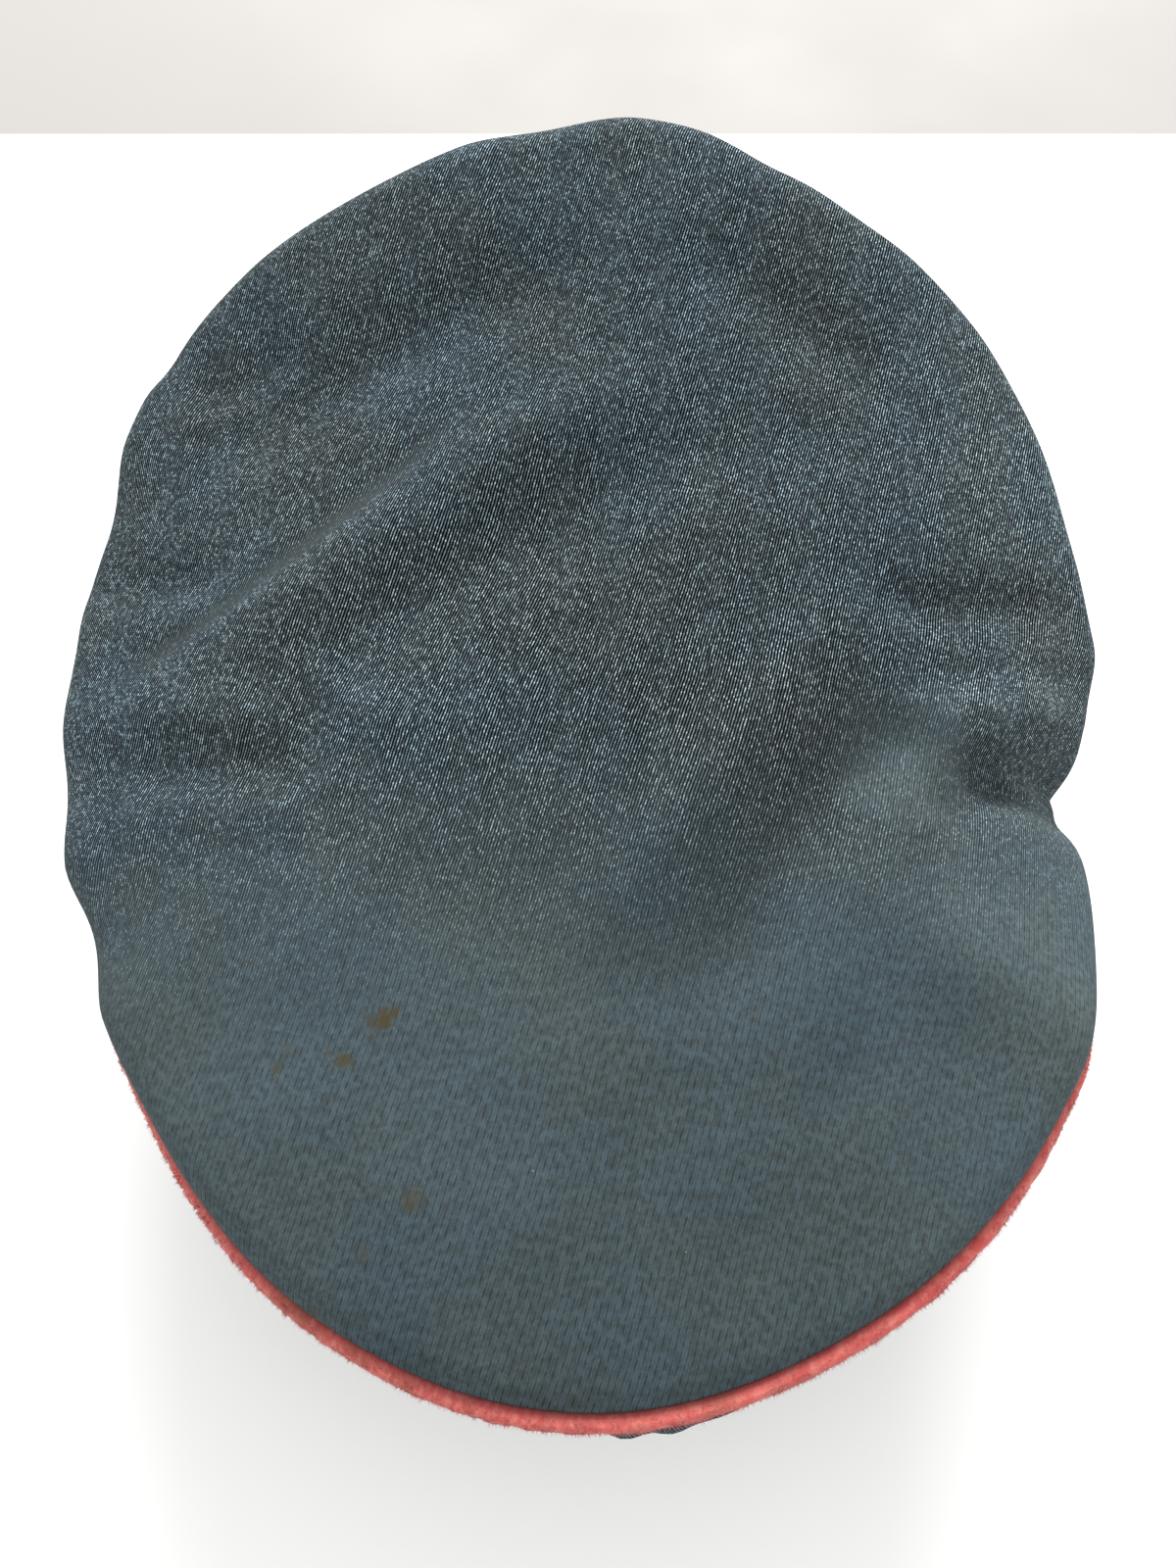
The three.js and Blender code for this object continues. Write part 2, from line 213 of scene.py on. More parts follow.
PUFFS = (
    Puff(187, 13, 8.4),
    Puff(182.3, 2.9, 2.4),
    Puff(186.2, 2.0, 0.8),
    Puff(195, 7.5, 2.3),
    Puff(206, 14, 4),
    Puff(152, 16, 4),
    Puff(120, 12, 4),
    Puff(75, 14, 3),
    Puff(290, 14, 4),
    Puff(238, 12, 4),
)

MARKS = (
    Mark(38.6, 71.4, 2.0, 0.95),
    Mark(41.0, 72.0, 1.4, 0.6),
    Mark(36.8, 70.4, 1.2, 0.7),
    Mark(46.2, 78.6, 1.7, 0.8),
    Mark(49.4, 76.8, 0.9, 0.4),
    Mark(40.8, 74.6, 0.8, 0.4),
    Mark(32.1, 103.9, 2.2, 0.5),
    Mark(59.7, 79.2, 1.2, 0.6),
    Mark(57.6, 76.2, 0.9, 0.35),
    Mark(40.8, 112.7, 1.6, 0.3),
    Mark(50.6, 123.5, 1.6, 0.3),
)

# Painted shade: darker, browner places over shaded hollows and slopes and along the back edge, in places
# also a darker cloth tone
PAINTED_SHADE_PLACES = (
    Mark(-22, -2, 52, 0.8),
    Mark(14, -14, 32, 0.4),
    Mark(-52, -92, 26, 0.6),
    Mark(4, -84, 34, 0.5),
    Mark(12, 40, 36, 0.6),
    Mark(66, -66, 20, 0.9),
    Mark(90, -76, 14, 0.8),
    Mark(100, -26, 12, 0.5),
    Mark(68, 19, 10, 0.7),
    Mark(74, 40, 18, 0.4),
    Mark(-14, 26, 18, 0.9),
    Mark(-22, 64, 18, 0.4),
    Mark(-106, -24, 16, 0.8),
    Mark(-80, -16, 14, 0.8),
    Mark(-18, 102, 36, 0.5),
    Mark(-64, -8, 15, 0.5),
    Mark(4, 142, 16, 0.8),
    Mark(-22, 140, 15, 0.7),
    Mark(30, 136, 14, 0.6),
)

# Painted light: paler places over lit slopes round the pinch, along the bright right rim and where sheen
# lies on the curved cloth
PAINTED_LIGHT_PLACES = (
    Mark(-64, 20, 15, 0.75),
    Mark(-41, 7, 10, 0.4),
    Mark(-86, 46, 26, 0.42),
    Mark(-110, 56, 42, 1.0),
    Mark(24, 78, 34, 0.45),
    Mark(66, -14, 56, 0.1),
    Mark(-18, 102, 36, 0.25),
    Mark(-106, -7, 14, 0.5),
    Mark(-84, 2, 13, 0.7),
    Mark(-75, 9, 12, 0.6),
    Mark(-108, -58, 30, 0.8),
    Mark(-96, -88, 26, 0.6),
    Mark(76, 66, 46, 0.42),
    Mark(-84, 98, 36, 0.45),
    Mark(-107, 17, 5, 1.0),
    Mark(20, -136, 20, 0.4),
    Mark(-28, -134, 22, 0.5),
    Mark(-64, -118, 22, 0.5),
)

RUBBED_PLACES = (Mark(-67, 19, 17, 0.7),)


def smooth_step(value: Array) -> Array:
    """Eases from 0 to 1 as value goes from 0 to 1."""
    held = np.clip(value, 0, 1)
    return held * held * (3 - 2 * held)


def blend(low: Array, high: Array, share: Array) -> Array:
    """The value a share of the way from low to high."""
    return low + (high - low) * share


def unit(vectors: Array) -> Array:
    """Vectors scaled to length one."""
    return vectors / np.maximum(np.linalg.norm(vectors, axis=-1, keepdims=True), TINY)


def wrapped(turn: Array) -> Array:
    """Turns brought to between -180 and 180 degrees."""
    return np.mod(turn + FULL_TURN / 2, FULL_TURN) - FULL_TURN / 2


def sin_of(degrees: Array) -> Array:
    """Sine of an angle in degrees."""
    return np.sin(np.radians(degrees))


def cos_of(degrees: Array) -> Array:
    """Cosine of an angle in degrees."""
    return np.cos(np.radians(degrees))


@dataclass(frozen=True)
class Ripple:
    """Soft, seeded unevenness of slack cloth, made of crossing waves."""

    height: float
    shortest: float
    longest: float
    seed: int
    waves: int = 14

    def at(self, x: Array, y: Array) -> Array:
        """Height of the ripple.

        Args:
            x: First coordinate on the cloth.
            y: Second coordinate on the cloth.

        Returns:
            Heights of about plus or minus the ripple's height.
        """
        rng = np.random.default_rng(self.seed)
        total = np.zeros(np.broadcast(x, y).shape)
        for _ in range(self.waves):
            heading, phase, pick = rng.uniform(0, 2 * math.pi), rng.uniform(0, 2 * math.pi), rng.uniform()
            length = self.shortest * (self.longest / self.shortest) ** pick
            total += np.sin((x * math.cos(heading) + y * math.sin(heading)) * 2 * math.pi / length + phase)
        return self.height * total / math.sqrt(self.waves)


@dataclass(frozen=True)
class Roll:
    """The crown edge's roll at each turn: its two end angles and the place of its axis."""

    start: Array
    end: Array
    reach: Array
    height: Array


@dataclass(frozen=True)
class Seam:
    """The seam under the crown edge at each turn."""

    reach: Array
    height: Array
    fall: Array
    half_angle: Array
    rise: Array
    setback: Array


@dataclass(frozen=True)
class CapForm:
    """Shape of the cap's cloth, in millimetres about the crown's middle and degrees of turn."""

    cloth_wall: float = 2.0
    gap: float = 0.3
    middle_height: float = 106.0
    front_rise: float = 5.0
    bend: float = 2.2
    roll_radius: float = 9.0
    roll_start: tuple[float, float] = (-25.0, 60.0)
    least_roll: float = 10.0
    edge_step: float = 0.02
    seam_clearance: float = 0.6
    welt_half_width: float = 1.4
    welt_half_depth: float = 1.35
    sharp_seam: tuple[float, float] = (37.5, 1.0)
    flat_seam: tuple[float, float] = (70.0, -0.7)
    band_half_width: float = 82.0
    band_half_length: float = 100.0
    band_wall: float = 3.0
    band_height: float = 42.0
    band_front_lift: float = 27.0
    band_flat_from: float = 95.0
    puff_climb: float = 2.5
    calm_from: float = 0.84
    dent_fade: float = 5.0
    wear_narrowing: float = 1.7
    folds: tuple[Fold, ...] = LEFT_FOLDS + RIGHT_FOLDS + FRONT_FOLDS
    slack: Ripple = Ripple(0.35, 22, 70, seed=5)

    def place(self, turn: Array, reach: Array, height: Array) -> Array:
        """Points at a turn, a reach from the middle and a height."""
        return np.stack(np.broadcast_arrays(reach * sin_of(turn), -reach * cos_of(turn), height), axis=-1)

    def rim(self, turn: Array, column: str) -> Array:
        """A column of the rim table at any turn, on a smooth closed curve.

        Args:
            turn: Turns in degrees.
            column: Name of the column.

        Returns:
            The column's values at those turns.
        """
        values = np.array([getattr(row, column) for row in RIM], dtype=float)
        spot = np.mod(turn, FULL_TURN) / (FULL_TURN / len(values))
        index = np.floor(spot).astype(int)
        t = spot - index
        a, b, c, d = (values[(index + k) % len(values)] for k in (-1, 0, 1, 2))
        return b + 0.5 * t * (c - a + t * (2 * a - 5 * b + 4 * c - d + t * (3 * (b - c) + d - a)))

    def rim_reach(self, turn: Array) -> Array:
        """Reach of the crown edge, with its dents."""
        reach = self.rim(turn, "reach")
        for dent in DENTS:
            away = np.minimum(np.abs(wrapped(turn - dent.turn)) / dent.half_width, 1)
            reach = reach - dent.depth * (1 - away**dent.corner) ** 2
        return reach

    def fold_parts(self, fold: Fold, x: Array, y: Array) -> tuple[Array, Array]:
        """Where points lie on one fold.

        Args:
            fold: The fold.
            x: Plan coordinates to the wearer's left.
            y: Plan coordinates to the back.

        Returns:
            How strongly the fold shows there along its length, and how far away its line is in half widths.
        """
        line = np.subtract(fold.end, fold.start)
        length = math.hypot(*line)
        dx, dy = x - fold.start[0], y - fold.start[1]
        along = (dx * line[0] + dy * line[1]) / length**2
        across = (dy * line[0] - dx * line[1]) / length
        held = np.clip(along, 0, 1)
        away = (across - fold.bow * 4 * held * (1 - held)) / fold.half_width
        return smooth_step(along / fold.taper) * smooth_step((1 - along) / fold.taper), away

    def fold_height(self, x: Array, y: Array) -> Array:
        """Height that the folds and the slack add at plan points."""
        total = self.slack.at(x, y)
        for fold in self.folds:
            strength, away = self.fold_parts(fold, x, y)
            total = total + fold.height * strength * np.exp(-(away**2))
        return total

    def fold_wear(self, x: Array, y: Array) -> Array:
        """How far the cloth is worn smooth along its creases, from 0 to 1."""
        total = np.zeros(np.broadcast(x, y).shape)
        for fold in self.folds:
            strength, away = self.fold_parts(fold, x, y)
            total = total + fold.wear * strength * np.exp(-((self.wear_narrowing * away) ** 2))
        return np.clip(total, 0, 1)

    def dome(self, turn: Array, share: Array) -> tuple[Array, Array]:
        """The top panel inside its roll.

        Args:
            turn: Turns in degrees.
            share: Shares of the way from the middle to the roll.

        Returns:
            Reach from the middle, and height.
        """
        rise = self.front_rise * cos_of(turn)
        bend = self.rim(turn, "height") - self.middle_height - rise
        rim_reach = self.rim_reach(turn)
        edge_fall = -np.arctan2(rise + self.bend * bend, rim_reach)
        dented = self.rim(turn, "reach") - rim_reach
        plain_reach = rim_reach + dented - self.roll_radius * (1 - np.sin(edge_fall))
        reach = plain_reach * share - dented * share**self.dent_fade
        calm = np.maximum(share - self.calm_from, 0) ** 2 / (2 * (1 - self.calm_from))
        fold_reach = reach * (1 - calm / np.maximum(share, self.calm_from))
        lift = self.fold_height(fold_reach * sin_of(turn), -fold_reach * cos_of(turn))
        return reach, self.middle_height + rise * share + bend * share**self.bend + lift

    def roll(self, turn: Array) -> Roll:
        """The roll of the crown edge at each turn."""
        reach, height = self.dome(turn, np.ones_like(turn))
        _, inside = self.dome(turn, np.full_like(turn, 1 - self.edge_step))
        fall = np.degrees(np.arctan2(inside - height, reach * self.edge_step))
        start = np.clip(fall, *self.roll_start)
        end = np.maximum(self.rim(turn, "roll"), start + self.least_roll)
        return Roll(
            start,
            end,
            reach - self.roll_radius * sin_of(start),
            height - self.roll_radius * cos_of(start),
        )

    def crown(self, turn: Array, along: Array) -> Array:
        """Points of the top panel's outer side.

        Args:
            turn: Turns in degrees.
            along: 0 at the middle, 1 where the roll starts, 2 at the panel's edge.

        Returns:
            Points in millimetres.
        """
        dome_reach, dome_height = self.dome(turn, np.minimum(along, 1))
        roll = self.roll(turn)
        angle = blend(roll.start, roll.end, np.clip(along - 1, 0, 1))
        on_roll = along > 1
        reach = np.where(on_roll, roll.reach + self.roll_radius * sin_of(angle), dome_reach)
        height = np.where(on_roll, roll.height + self.roll_radius * cos_of(angle), dome_height)
        return self.place(turn, reach, height)

    def seam(self, turn: Array) -> Seam:
        """The seam between the top panel and the side cloth at each turn."""
        roll, rise = self.roll(turn), self.rim(turn, "rise")
        half_angle = (roll.end + rise) / 2
        half_wall = self.cloth_wall / 2
        setback = self.seam_clearance + (half_wall + self.gap / 2) / np.tan(np.radians(half_angle))
        middle = self.roll_radius - half_wall
        return Seam(
            roll.reach + middle * sin_of(roll.end) + setback * cos_of(roll.end),
            roll.height + middle * cos_of(roll.end) - setback * sin_of(roll.end),
            (roll.end - rise) / 2,
            half_angle,
            rise,
            setback,
        )

    def welt(self, turn: Array, angle: Array, swell: Array) -> Array:
        """Points of the felt welt in the seam.

        Args:
            turn: Turns in degrees.
            angle: Angles round the welt, 0 on its outermost line.
            swell: How far the felt stands out from its plain form, in millimetres.

        Returns:
            Points in millimetres.
        """
        seam = self.seam(turn)
        (sharp, sharp_nest), (flat, flat_nest) = self.sharp_seam, self.flat_seam
        nest = blend(sharp_nest, flat_nest, (seam.half_angle - sharp) / (flat - sharp))
        middle = self.welt_half_width - nest
        sunk = seam.setback * cos_of(seam.half_angle) + self.cloth_wall / 2 * sin_of(seam.half_angle)
        out_axis = np.where(cos_of(angle) > 0, self.welt_half_width + swell, middle + sunk - self.gap)
        out = middle + out_axis * cos_of(angle)
        up = (self.welt_half_depth + swell) * sin_of(angle)
        return self.place(
            turn,
            seam.reach + out * cos_of(seam.fall) + up * sin_of(seam.fall),
            seam.height - out * sin_of(seam.fall) + up * cos_of(seam.fall),
        )

    def band_lift(self, turn: Array) -> Array:
        """Height of the band's lower edge."""
        return self.band_front_lift * smooth_step(1 - np.abs(wrapped(turn)) / self.band_flat_from)

    def band_reach(self, turn: Array, outset: float) -> Array:
        """Reach of the band's oval, set out from its inner side."""
        wide, long = self.band_half_width + outset, self.band_half_length + outset
        return 1 / np.hypot(sin_of(turn) / wide, cos_of(turn) / long)

    def side(self, turn: Array, share: Array) -> Array:
        """Points of the side cloth's outer side.

        Args:
            turn: Turns in degrees.
            share: 0 at the welt, 1 at the band.

        Returns:
            Points in millimetres.
        """
        seam = self.seam(turn)
        half_wall = self.cloth_wall / 2
        top_reach = seam.reach - seam.setback * cos_of(seam.rise) + half_wall * sin_of(seam.rise)
        top_height = seam.height - seam.setback * sin_of(seam.rise) - half_wall * cos_of(seam.rise)
        foot_reach = self.band_reach(turn, self.band_wall - self.gap)
        foot_height = self.band_lift(turn) + self.band_height + self.gap
        chord = np.hypot(top_reach - foot_reach, top_height - foot_height)
        foot_rise = 2 * np.degrees(np.arctan2(top_height - foot_height, top_reach - foot_reach)) - seam.rise
        up = np.clip(1 - share, 0, 1)
        foot_pull, top_pull = up * (1 - up) ** 2 * chord, up**2 * (up - 1) * chord
        reach = blend(foot_reach, top_reach, smooth_step(up))
        reach = reach + foot_pull * cos_of(foot_rise) + top_pull * cos_of(seam.rise)
        height = blend(foot_height, top_height, smooth_step(up))
        height = height + foot_pull * sin_of(foot_rise) + top_pull * sin_of(seam.rise)
        puff = np.zeros_like(reach)
        for place in PUFFS:
            away = np.minimum(np.abs(wrapped(turn - place.turn)) / place.half_width, 1)
            puff = puff + place.bulge * (1 - away**2) ** 2
        reach = reach + puff * np.sin(math.pi * up**self.puff_climb) ** 2
        return self.place(turn, reach, height)


FORM = CapForm()


def grid_normals(points: Array, closed: bool) -> Array:
    """Unit normals of a grid of points.

    Args:
        points: Grid of points, turn by row.
        closed: Whether the last turn joins the first.

    Returns:
        Outward normals, one for each point.
    """
    if closed:
        round_cap = np.roll(points, -1, axis=0) - np.roll(points, 1, axis=0)
    else:
        round_cap = np.gradient(points, axis=0)
    return unit(np.cross(np.gradient(points, axis=1), round_cap))


def round_edge(edge: Array, normal: Array, outward: Array, wall: float) -> Array:
    """Points of a wall's rounded edge.

    Args:
        edge: Points along the edge of one side.
        normal: That side's normals there.
        outward: Directions out of the wall past its edge.
        wall: Thickness of the wall.

    Returns:
        Grid of points from this side to the other.
    """
    out = unit(outward - np.sum(outward * normal, axis=-1, keepdims=True) * normal)
    middle = edge - normal * wall / 2
    angles = np.linspace(0, math.pi, EDGE_STEPS + 2)[1:-1]
    rows = [middle + wall / 2 * (math.cos(a) * normal + math.sin(a) * out) for a in angles]
    return np.stack(rows, axis=1)


@dataclass
class Wall:
    """A closed wall made of rings, one for each turn.

    rings holds points turn by place round the ring. values holds what the finish reads, under the
    attribute's name: numbers, or vectors of three.
    """

    rings: Array
    values: dict[str, Array] = field(default_factory=dict)

    @classmethod
    def about(
        cls, outer: Array, normal: Array, wall: float, start_edge: bool, values: dict[str, Array]
    ) -> "Wall":
        """Gives a sheet its thickness and rounded edges.

        Args:
            outer: Grid of points of the outer side, turn by row.
            normal: Outward normals of that side.
            wall: Thickness.
            start_edge: Whether the first row has an edge too; otherwise it is a pole.
            values: What the finish reads on the outer side, turn by row.

        Returns:
            The wall.
        """
        inner = outer - wall * normal
        end_edge = round_edge(outer[:, -1], normal[:, -1], outer[:, -1] - outer[:, -2], wall)
        parts = [outer, end_edge, inner[:, ::-1]]
        rows = np.arange(outer.shape[1])
        edge_rows = np.full(end_edge.shape[1], rows[-1])
        order = [rows, edge_rows, rows[::-1]]
        if start_edge:
            parts.append(round_edge(inner[:, 0], -normal[:, 0], outer[:, 0] - outer[:, 1], wall))
            order.append(np.zeros_like(edge_rows))
        order = np.concatenate(order)
        return cls(np.concatenate(parts, axis=1), {name: value[:, order] for name, value in values.items()})

    def faces(self, closed: bool, pole: bool) -> list[list[int]]:
        """Faces of the wall.

        Args:
            closed: Whether the last turn joins the first.
            pole: Whether each ring starts and ends at a pole that all turns share.

        Returns:
            Corner numbers of each face, in the grid's own numbering.
        """
        turns, places = self.rings.shape[:2]
        number = np.arange(turns * places).reshape(turns, places)
        if pole:
            number[:, 0], number[:, -1] = number[0, 0], number[0, -1]
        this, after = (number, np.roll(number, -1, axis=0)) if closed else (number[:-1], number[1:])
        following = this if pole else np.concatenate([this, this[:, :1]], axis=1)
        after_following = after if pole else np.concatenate([after, after[:, :1]], axis=1)
        quads = np.stack(
            [following[:, :-1], following[:, 1:], after_following[:, 1:], after_following[:, :-1]], axis=-1
        ).reshape(-1, 4)
        faces = [list(dict.fromkeys(quad)) for quad in quads.tolist()]
        if not closed:
            faces += self.end_faces(number[0]) + [face[::-1] for face in self.end_faces(number[-1])]
        return faces

    def end_faces(self, ring: Array) -> list[list[int]]:
        """A ladder of faces that closes one open end, from the middle of one edge to the other."""
        count = len(ring)
        first = count - 1 - EDGE_STEPS // 2
        rungs = range(count // 2 + 1)
        pairs = [(int(ring[(first + k) % count]), int(ring[(first - k) % count])) for k in rungs]
        return [list(dict.fromkeys((a, c, d, b))) for (a, b), (c, d) in zip(pairs, pairs[1:])]

    def piece(self, name: str, closed: bool = True, pole: bool = False) -> bpy.types.Object:
        """Makes the wall's mesh and its object.

        Args:
            name: The piece's name.
            closed: Whether the last turn joins the first.
            pole: Whether each ring starts and ends at a pole.

        Returns:
            The object, in the scene and riding on the cap.
        """
        points = self.rings.reshape(-1, 3)
        faces = self.faces(closed, pole)
        used = np.unique(np.fromiter((corner for face in faces for corner in face), dtype=int))
        renumber = np.full(len(points), -1)
        renumber[used] = np.arange(len(used))
        faces = [[int(renumber[corner]) for corner in face] for face in faces]
        points = points[used]
        if signed_volume(points, faces) < 0:
            faces = [face[::-1] for face in faces]
        values = {key: value.reshape(len(renumber), -1)[used] for key, value in self.values.items()}
        return make_piece(name, points, faces, values)


def signed_volume(points: Array, faces: list[list[int]]) -> float:
    """Volume inside a closed mesh, negative where its faces look inwards."""
    corners = np.array([(f[0], f[k], f[k + 1]) for f in faces for k in range(1, len(f) - 1)])
    a, b, c = (points[corners[:, k]] for k in range(3))
    return float(np.sum(np.cross(a, b) * c) / 6)


def make_piece(
    name: str, points: Array, faces: list[list[int]], values: dict[str, Array]
) -> bpy.types.Object:
    """Makes an object from points in millimetres about the crown's middle.

    Args:
        name: The piece's name.
        points: Points in millimetres.
        faces: Corner numbers of each face.
        values: Numbers or vectors for the finish, one for each point.

    Returns:
        The object, in the scene and riding on the cap.
    """
    mesh = bpy.data.meshes.new(name)
    mesh.from_pydata((points * MM + crown_middle()).tolist(), [], faces)
    for key, value in values.items():
        vector = value.shape[-1] == 3
        layer = mesh.attributes.new(key, "FLOAT_VECTOR" if vector else "FLOAT", "POINT")
        layer.data.foreach_set("vector" if vector else "value", value.astype(np.float32).ravel())
    mesh.polygons.foreach_set("use_smooth", [True] * len(mesh.polygons))
    mesh.update()
    piece = bpy.data.objects.new(name, mesh)
    bpy.context.scene.collection.objects.link(piece)
    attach(piece, "root")
    return piece


def crown_middle() -> Array:
    """The crown's middle on the table, in metres: the middle of the band's box."""
    low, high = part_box("band")
    return np.array([(low[0] + high[0]) / 2, (low[1] + high[1]) / 2, 0.0])


def finish_piece(piece: bpy.types.Object, material: bpy.types.Material, slot: Slot, *nodes: str) -> None:
    """Gives a piece its material and the solids that it stands for.

    Args:
        piece: The piece.
        material: Its material.
        slot: The record's slot; not used.
        nodes: Solids that it replaces.
    """
    piece.data.materials.append(material)
    if nodes:
        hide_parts(*nodes)
    LOG.info("%s: %d points, %d faces", piece.name, len(piece.data.vertices), len(piece.data.polygons))


def even_turns(count: int) -> Array:
    """Turns at even steps once round, as a column."""
    return (np.arange(count) / count * FULL_TURN)[:, None]


def inner_rows(inset: Array, rows: int) -> Array:
    """Shares of the way across a sheet, at even steps between two insets."""
    return inset + (1 - 2 * inset) * np.linspace(0, 1, rows)[None, :]


def near_edge(distance: Array, width: float) -> Array:
    """Nearness to an edge: 1 on it, 0 from a width away."""
    return smooth_step(1 - distance / width)


def flat_place(along: Array, across: Array) -> Array:
    """Places on flat cloth in metres, from millimetres along it and across it."""
    return np.stack(np.broadcast_arrays(along * MM, across * MM, 0.0), axis=-1)


@dataclass
class CapPiece:
    """A sub-assembly that stands for one solid of the cap."""

    name: str
    slot: ClassVar[Slot] = Slot.CROWN_CLOTH

    def build(self) -> bpy.types.Object:
        """Builds the piece."""
        raise NotImplementedError

    def dress(self, piece: bpy.types.Object, material: bpy.types.Material) -> None:
        """Puts the finish on the piece."""
        finish_piece(piece, material, self.slot, self.name)


@dataclass
class CrownTop(CapPiece):
    """The oval top panel, with its folds, its pinch and its rolled edge.

    Lengths are in millimetres. hem_from is a place along the panel, and rubbed_reach is in radii of a
    rubbed place.
    """

    name: str = "crown_top"
    turns: int = 400
    dome_rows: int = 84
    roll_rows: int = 14
    row_crowding: float = 0.8
    fine_turns: int = 3601
    pinch_crowding: float = 1.3
    pinch_half_width: float = 20.0
    crisp_until: float = 5.0
    rubbed_from: float = 78.0
    rubbed_reach: float = 1.5
    right_slant: float = 0.15
    most_rub: float = 0.95
    crease_rub: float = 0.8
    hem_from: float = 1.8

    def turn_places(self) -> Array:
        """Turns of the rings, closer together at the pinch."""
        fine = np.linspace(0, FULL_TURN, self.fine_turns)
        away = wrapped(fine - PINCH_TURN) / self.pinch_half_width
        crowd = 1 + self.pinch_crowding * np.exp(-(away**2))
        count = np.concatenate([[0], np.cumsum((crowd[1:] + crowd[:-1]) / 2)])
        return np.interp(np.arange(self.turns) / self.turns * count[-1], count, fine)[:, None]

    def build(self) -> bpy.types.Object:
        turn = self.turn_places()
        roll = FORM.roll(turn)
        roll_length = FORM.roll_radius * np.radians(roll.end - roll.start)
        dome_rows = np.linspace(0, 1, self.dome_rows) ** self.row_crowding
        roll_rows = np.linspace(0, 1, self.roll_rows + 1)[1:] * (1 - FORM.cloth_wall / 2 / roll_length)
        on_dome = np.broadcast_to(dome_rows, (self.turns, self.dome_rows))
        along = np.concatenate([on_dome, 1 + roll_rows], axis=1)
        outer = FORM.crown(turn, along)
        normal = grid_normals(outer, closed=True)
        normal[:, 0] = unit(normal[:, 1].mean(axis=0))
        wall = Wall.about(outer, normal, FORM.cloth_wall, False, self.cloth_values(turn, along, outer))
        piece = wall.piece(self.name + "_cloth", pole=True)
        return piece

    def cloth_values(self, turn: Array, along: Array, outer: Array) -> dict[str, Array]:
        """What the finish reads on the panel.

        Args:
            turn: Turns of the rings.
            along: Places along each ring.
            outer: Points of the outer side.

        Returns:
            cloth: place on the flat panel, in metres; rub: how far the weave is rubbed smooth; worn:
            how far the cloth is worn brown; hem: nearness to the panel's edge.
        """
        roll = FORM.roll(turn)
        arc = FORM.roll_radius * np.radians(roll.end - roll.start) * np.clip(along - 1, 0, 1)
        flat_reach = (FORM.rim(turn, "reach") - FORM.roll_radius) * np.minimum(along, 1) + arc
        flat = FORM.place(turn, flat_reach, np.zeros_like(flat_reach))
        worn = FORM.fold_wear(outer[..., 0], outer[..., 1])
        nearness = flat[..., 1] + self.right_slant * np.maximum(-flat[..., 0], 0)
        fading = (nearness - self.crisp_until) / (self.rubbed_from - self.crisp_until)
        rub = self.most_rub * smooth_step(fading)
        for place in RUBBED_PLACES:
            away = np.hypot(flat[..., 0] - place.x, flat[..., 1] - place.y) / place.radius
            rub = np.maximum(rub, place.strength * smooth_step(self.rubbed_reach - away))
        hem = smooth_step((along - self.hem_from) / (2 - self.hem_from))
        rub = np.maximum(rub, self.crease_rub * worn)
        return {"cloth": flat * MM, "rub": rub, "worn": worn, "hem": hem}


@dataclass
class Quarter(CapPiece):
    """One of the four side panels between the welt and the band.

    start and end are turns, order sets the panels' weave and slack apart, and lengths are in millimetres.
    """

    start: float
    end: float
    order: int
    columns: int = 110
    rows: int = 26
    trial_rows: int = 61
    seam_gap: float = 0.1
    seam_dip: float = 0.5
    seam_reach: float = 3.0
    slack: Ripple = Ripple(0.6, 14, 45, seed=11)
    slack_shift: float = 400.0
    slack_squeeze: float = 0.6
    slack_from_seam: float = 12.0
    hem_width: float = 2.5
    rub: float = 0.45

    def build(self) -> bpy.types.Object:
        shorten = np.degrees(self.seam_gap / 2 / FORM.band_half_width)
        turn = np.linspace(self.start + shorten, self.end - shorten, self.columns)[:, None]
        trial = FORM.side(turn, np.linspace(0, 1, self.trial_rows)[None, :])
        height = np.linalg.norm(np.diff(trial, axis=1), axis=-1).sum(axis=1)[:, None]
        share = inner_rows(FORM.cloth_wall / 2 / height, self.rows)
        plain = FORM.side(turn, share)
        steps = np.linalg.norm(np.diff(plain[:, self.rows // 2], axis=0), axis=-1)
        arc = np.concatenate([[0], np.cumsum(steps)])[:, None]
        outer = plain + grid_normals(plain, closed=False) * self.relief(arc, share, height)[..., None]
        values = {
            "cloth": flat_place(arc, share * height) + (self.order, 0, 0),
            "rub": np.full(share.shape, self.rub),
            "worn": np.zeros(share.shape),
            "hem": near_edge(share * height, self.hem_width),
        }
        wall = Wall.about(outer, grid_normals(outer, closed=False), FORM.cloth_wall, True, values)
        piece = wall.piece(self.name + "_cloth", closed=False)
        return piece

    def relief(self, arc: Array, share: Array, height: Array) -> Array:
        """How far the slack cloth stands out, less its dip at the seams.

        Args:
            arc: Lengths along the panel.
            share: Shares of the way from the welt to the band.
            height: Lengths of that way.

        Returns:
            Millimetres out of the plain form.
        """
        to_seam = np.minimum(arc, arc[-1] - arc)
        bulge = self.slack.at(arc + self.slack_shift * self.order, share * height * self.slack_squeeze)
        bulge = bulge * smooth_step(to_seam / self.slack_from_seam)
        dip = self.seam_dip * np.exp(-((to_seam / self.seam_reach) ** 2))
        return (bulge - dip) * np.sin(math.pi * share) ** 2


FRONT_SEAM, LEFT_SEAM, BACK_SEAM, RIGHT_SEAM = 2.0, 97.0, 184.0, 262.0

QUARTERS = (
    Quarter("quarter_front_left", FRONT_SEAM, LEFT_SEAM, 1),
    Quarter("quarter_back_left", LEFT_SEAM, BACK_SEAM, 2),
    Quarter("quarter_back_right", BACK_SEAM, RIGHT_SEAM, 3),
    Quarter("quarter_front_right", RIGHT_SEAM, FRONT_SEAM + FULL_TURN, 4),
)


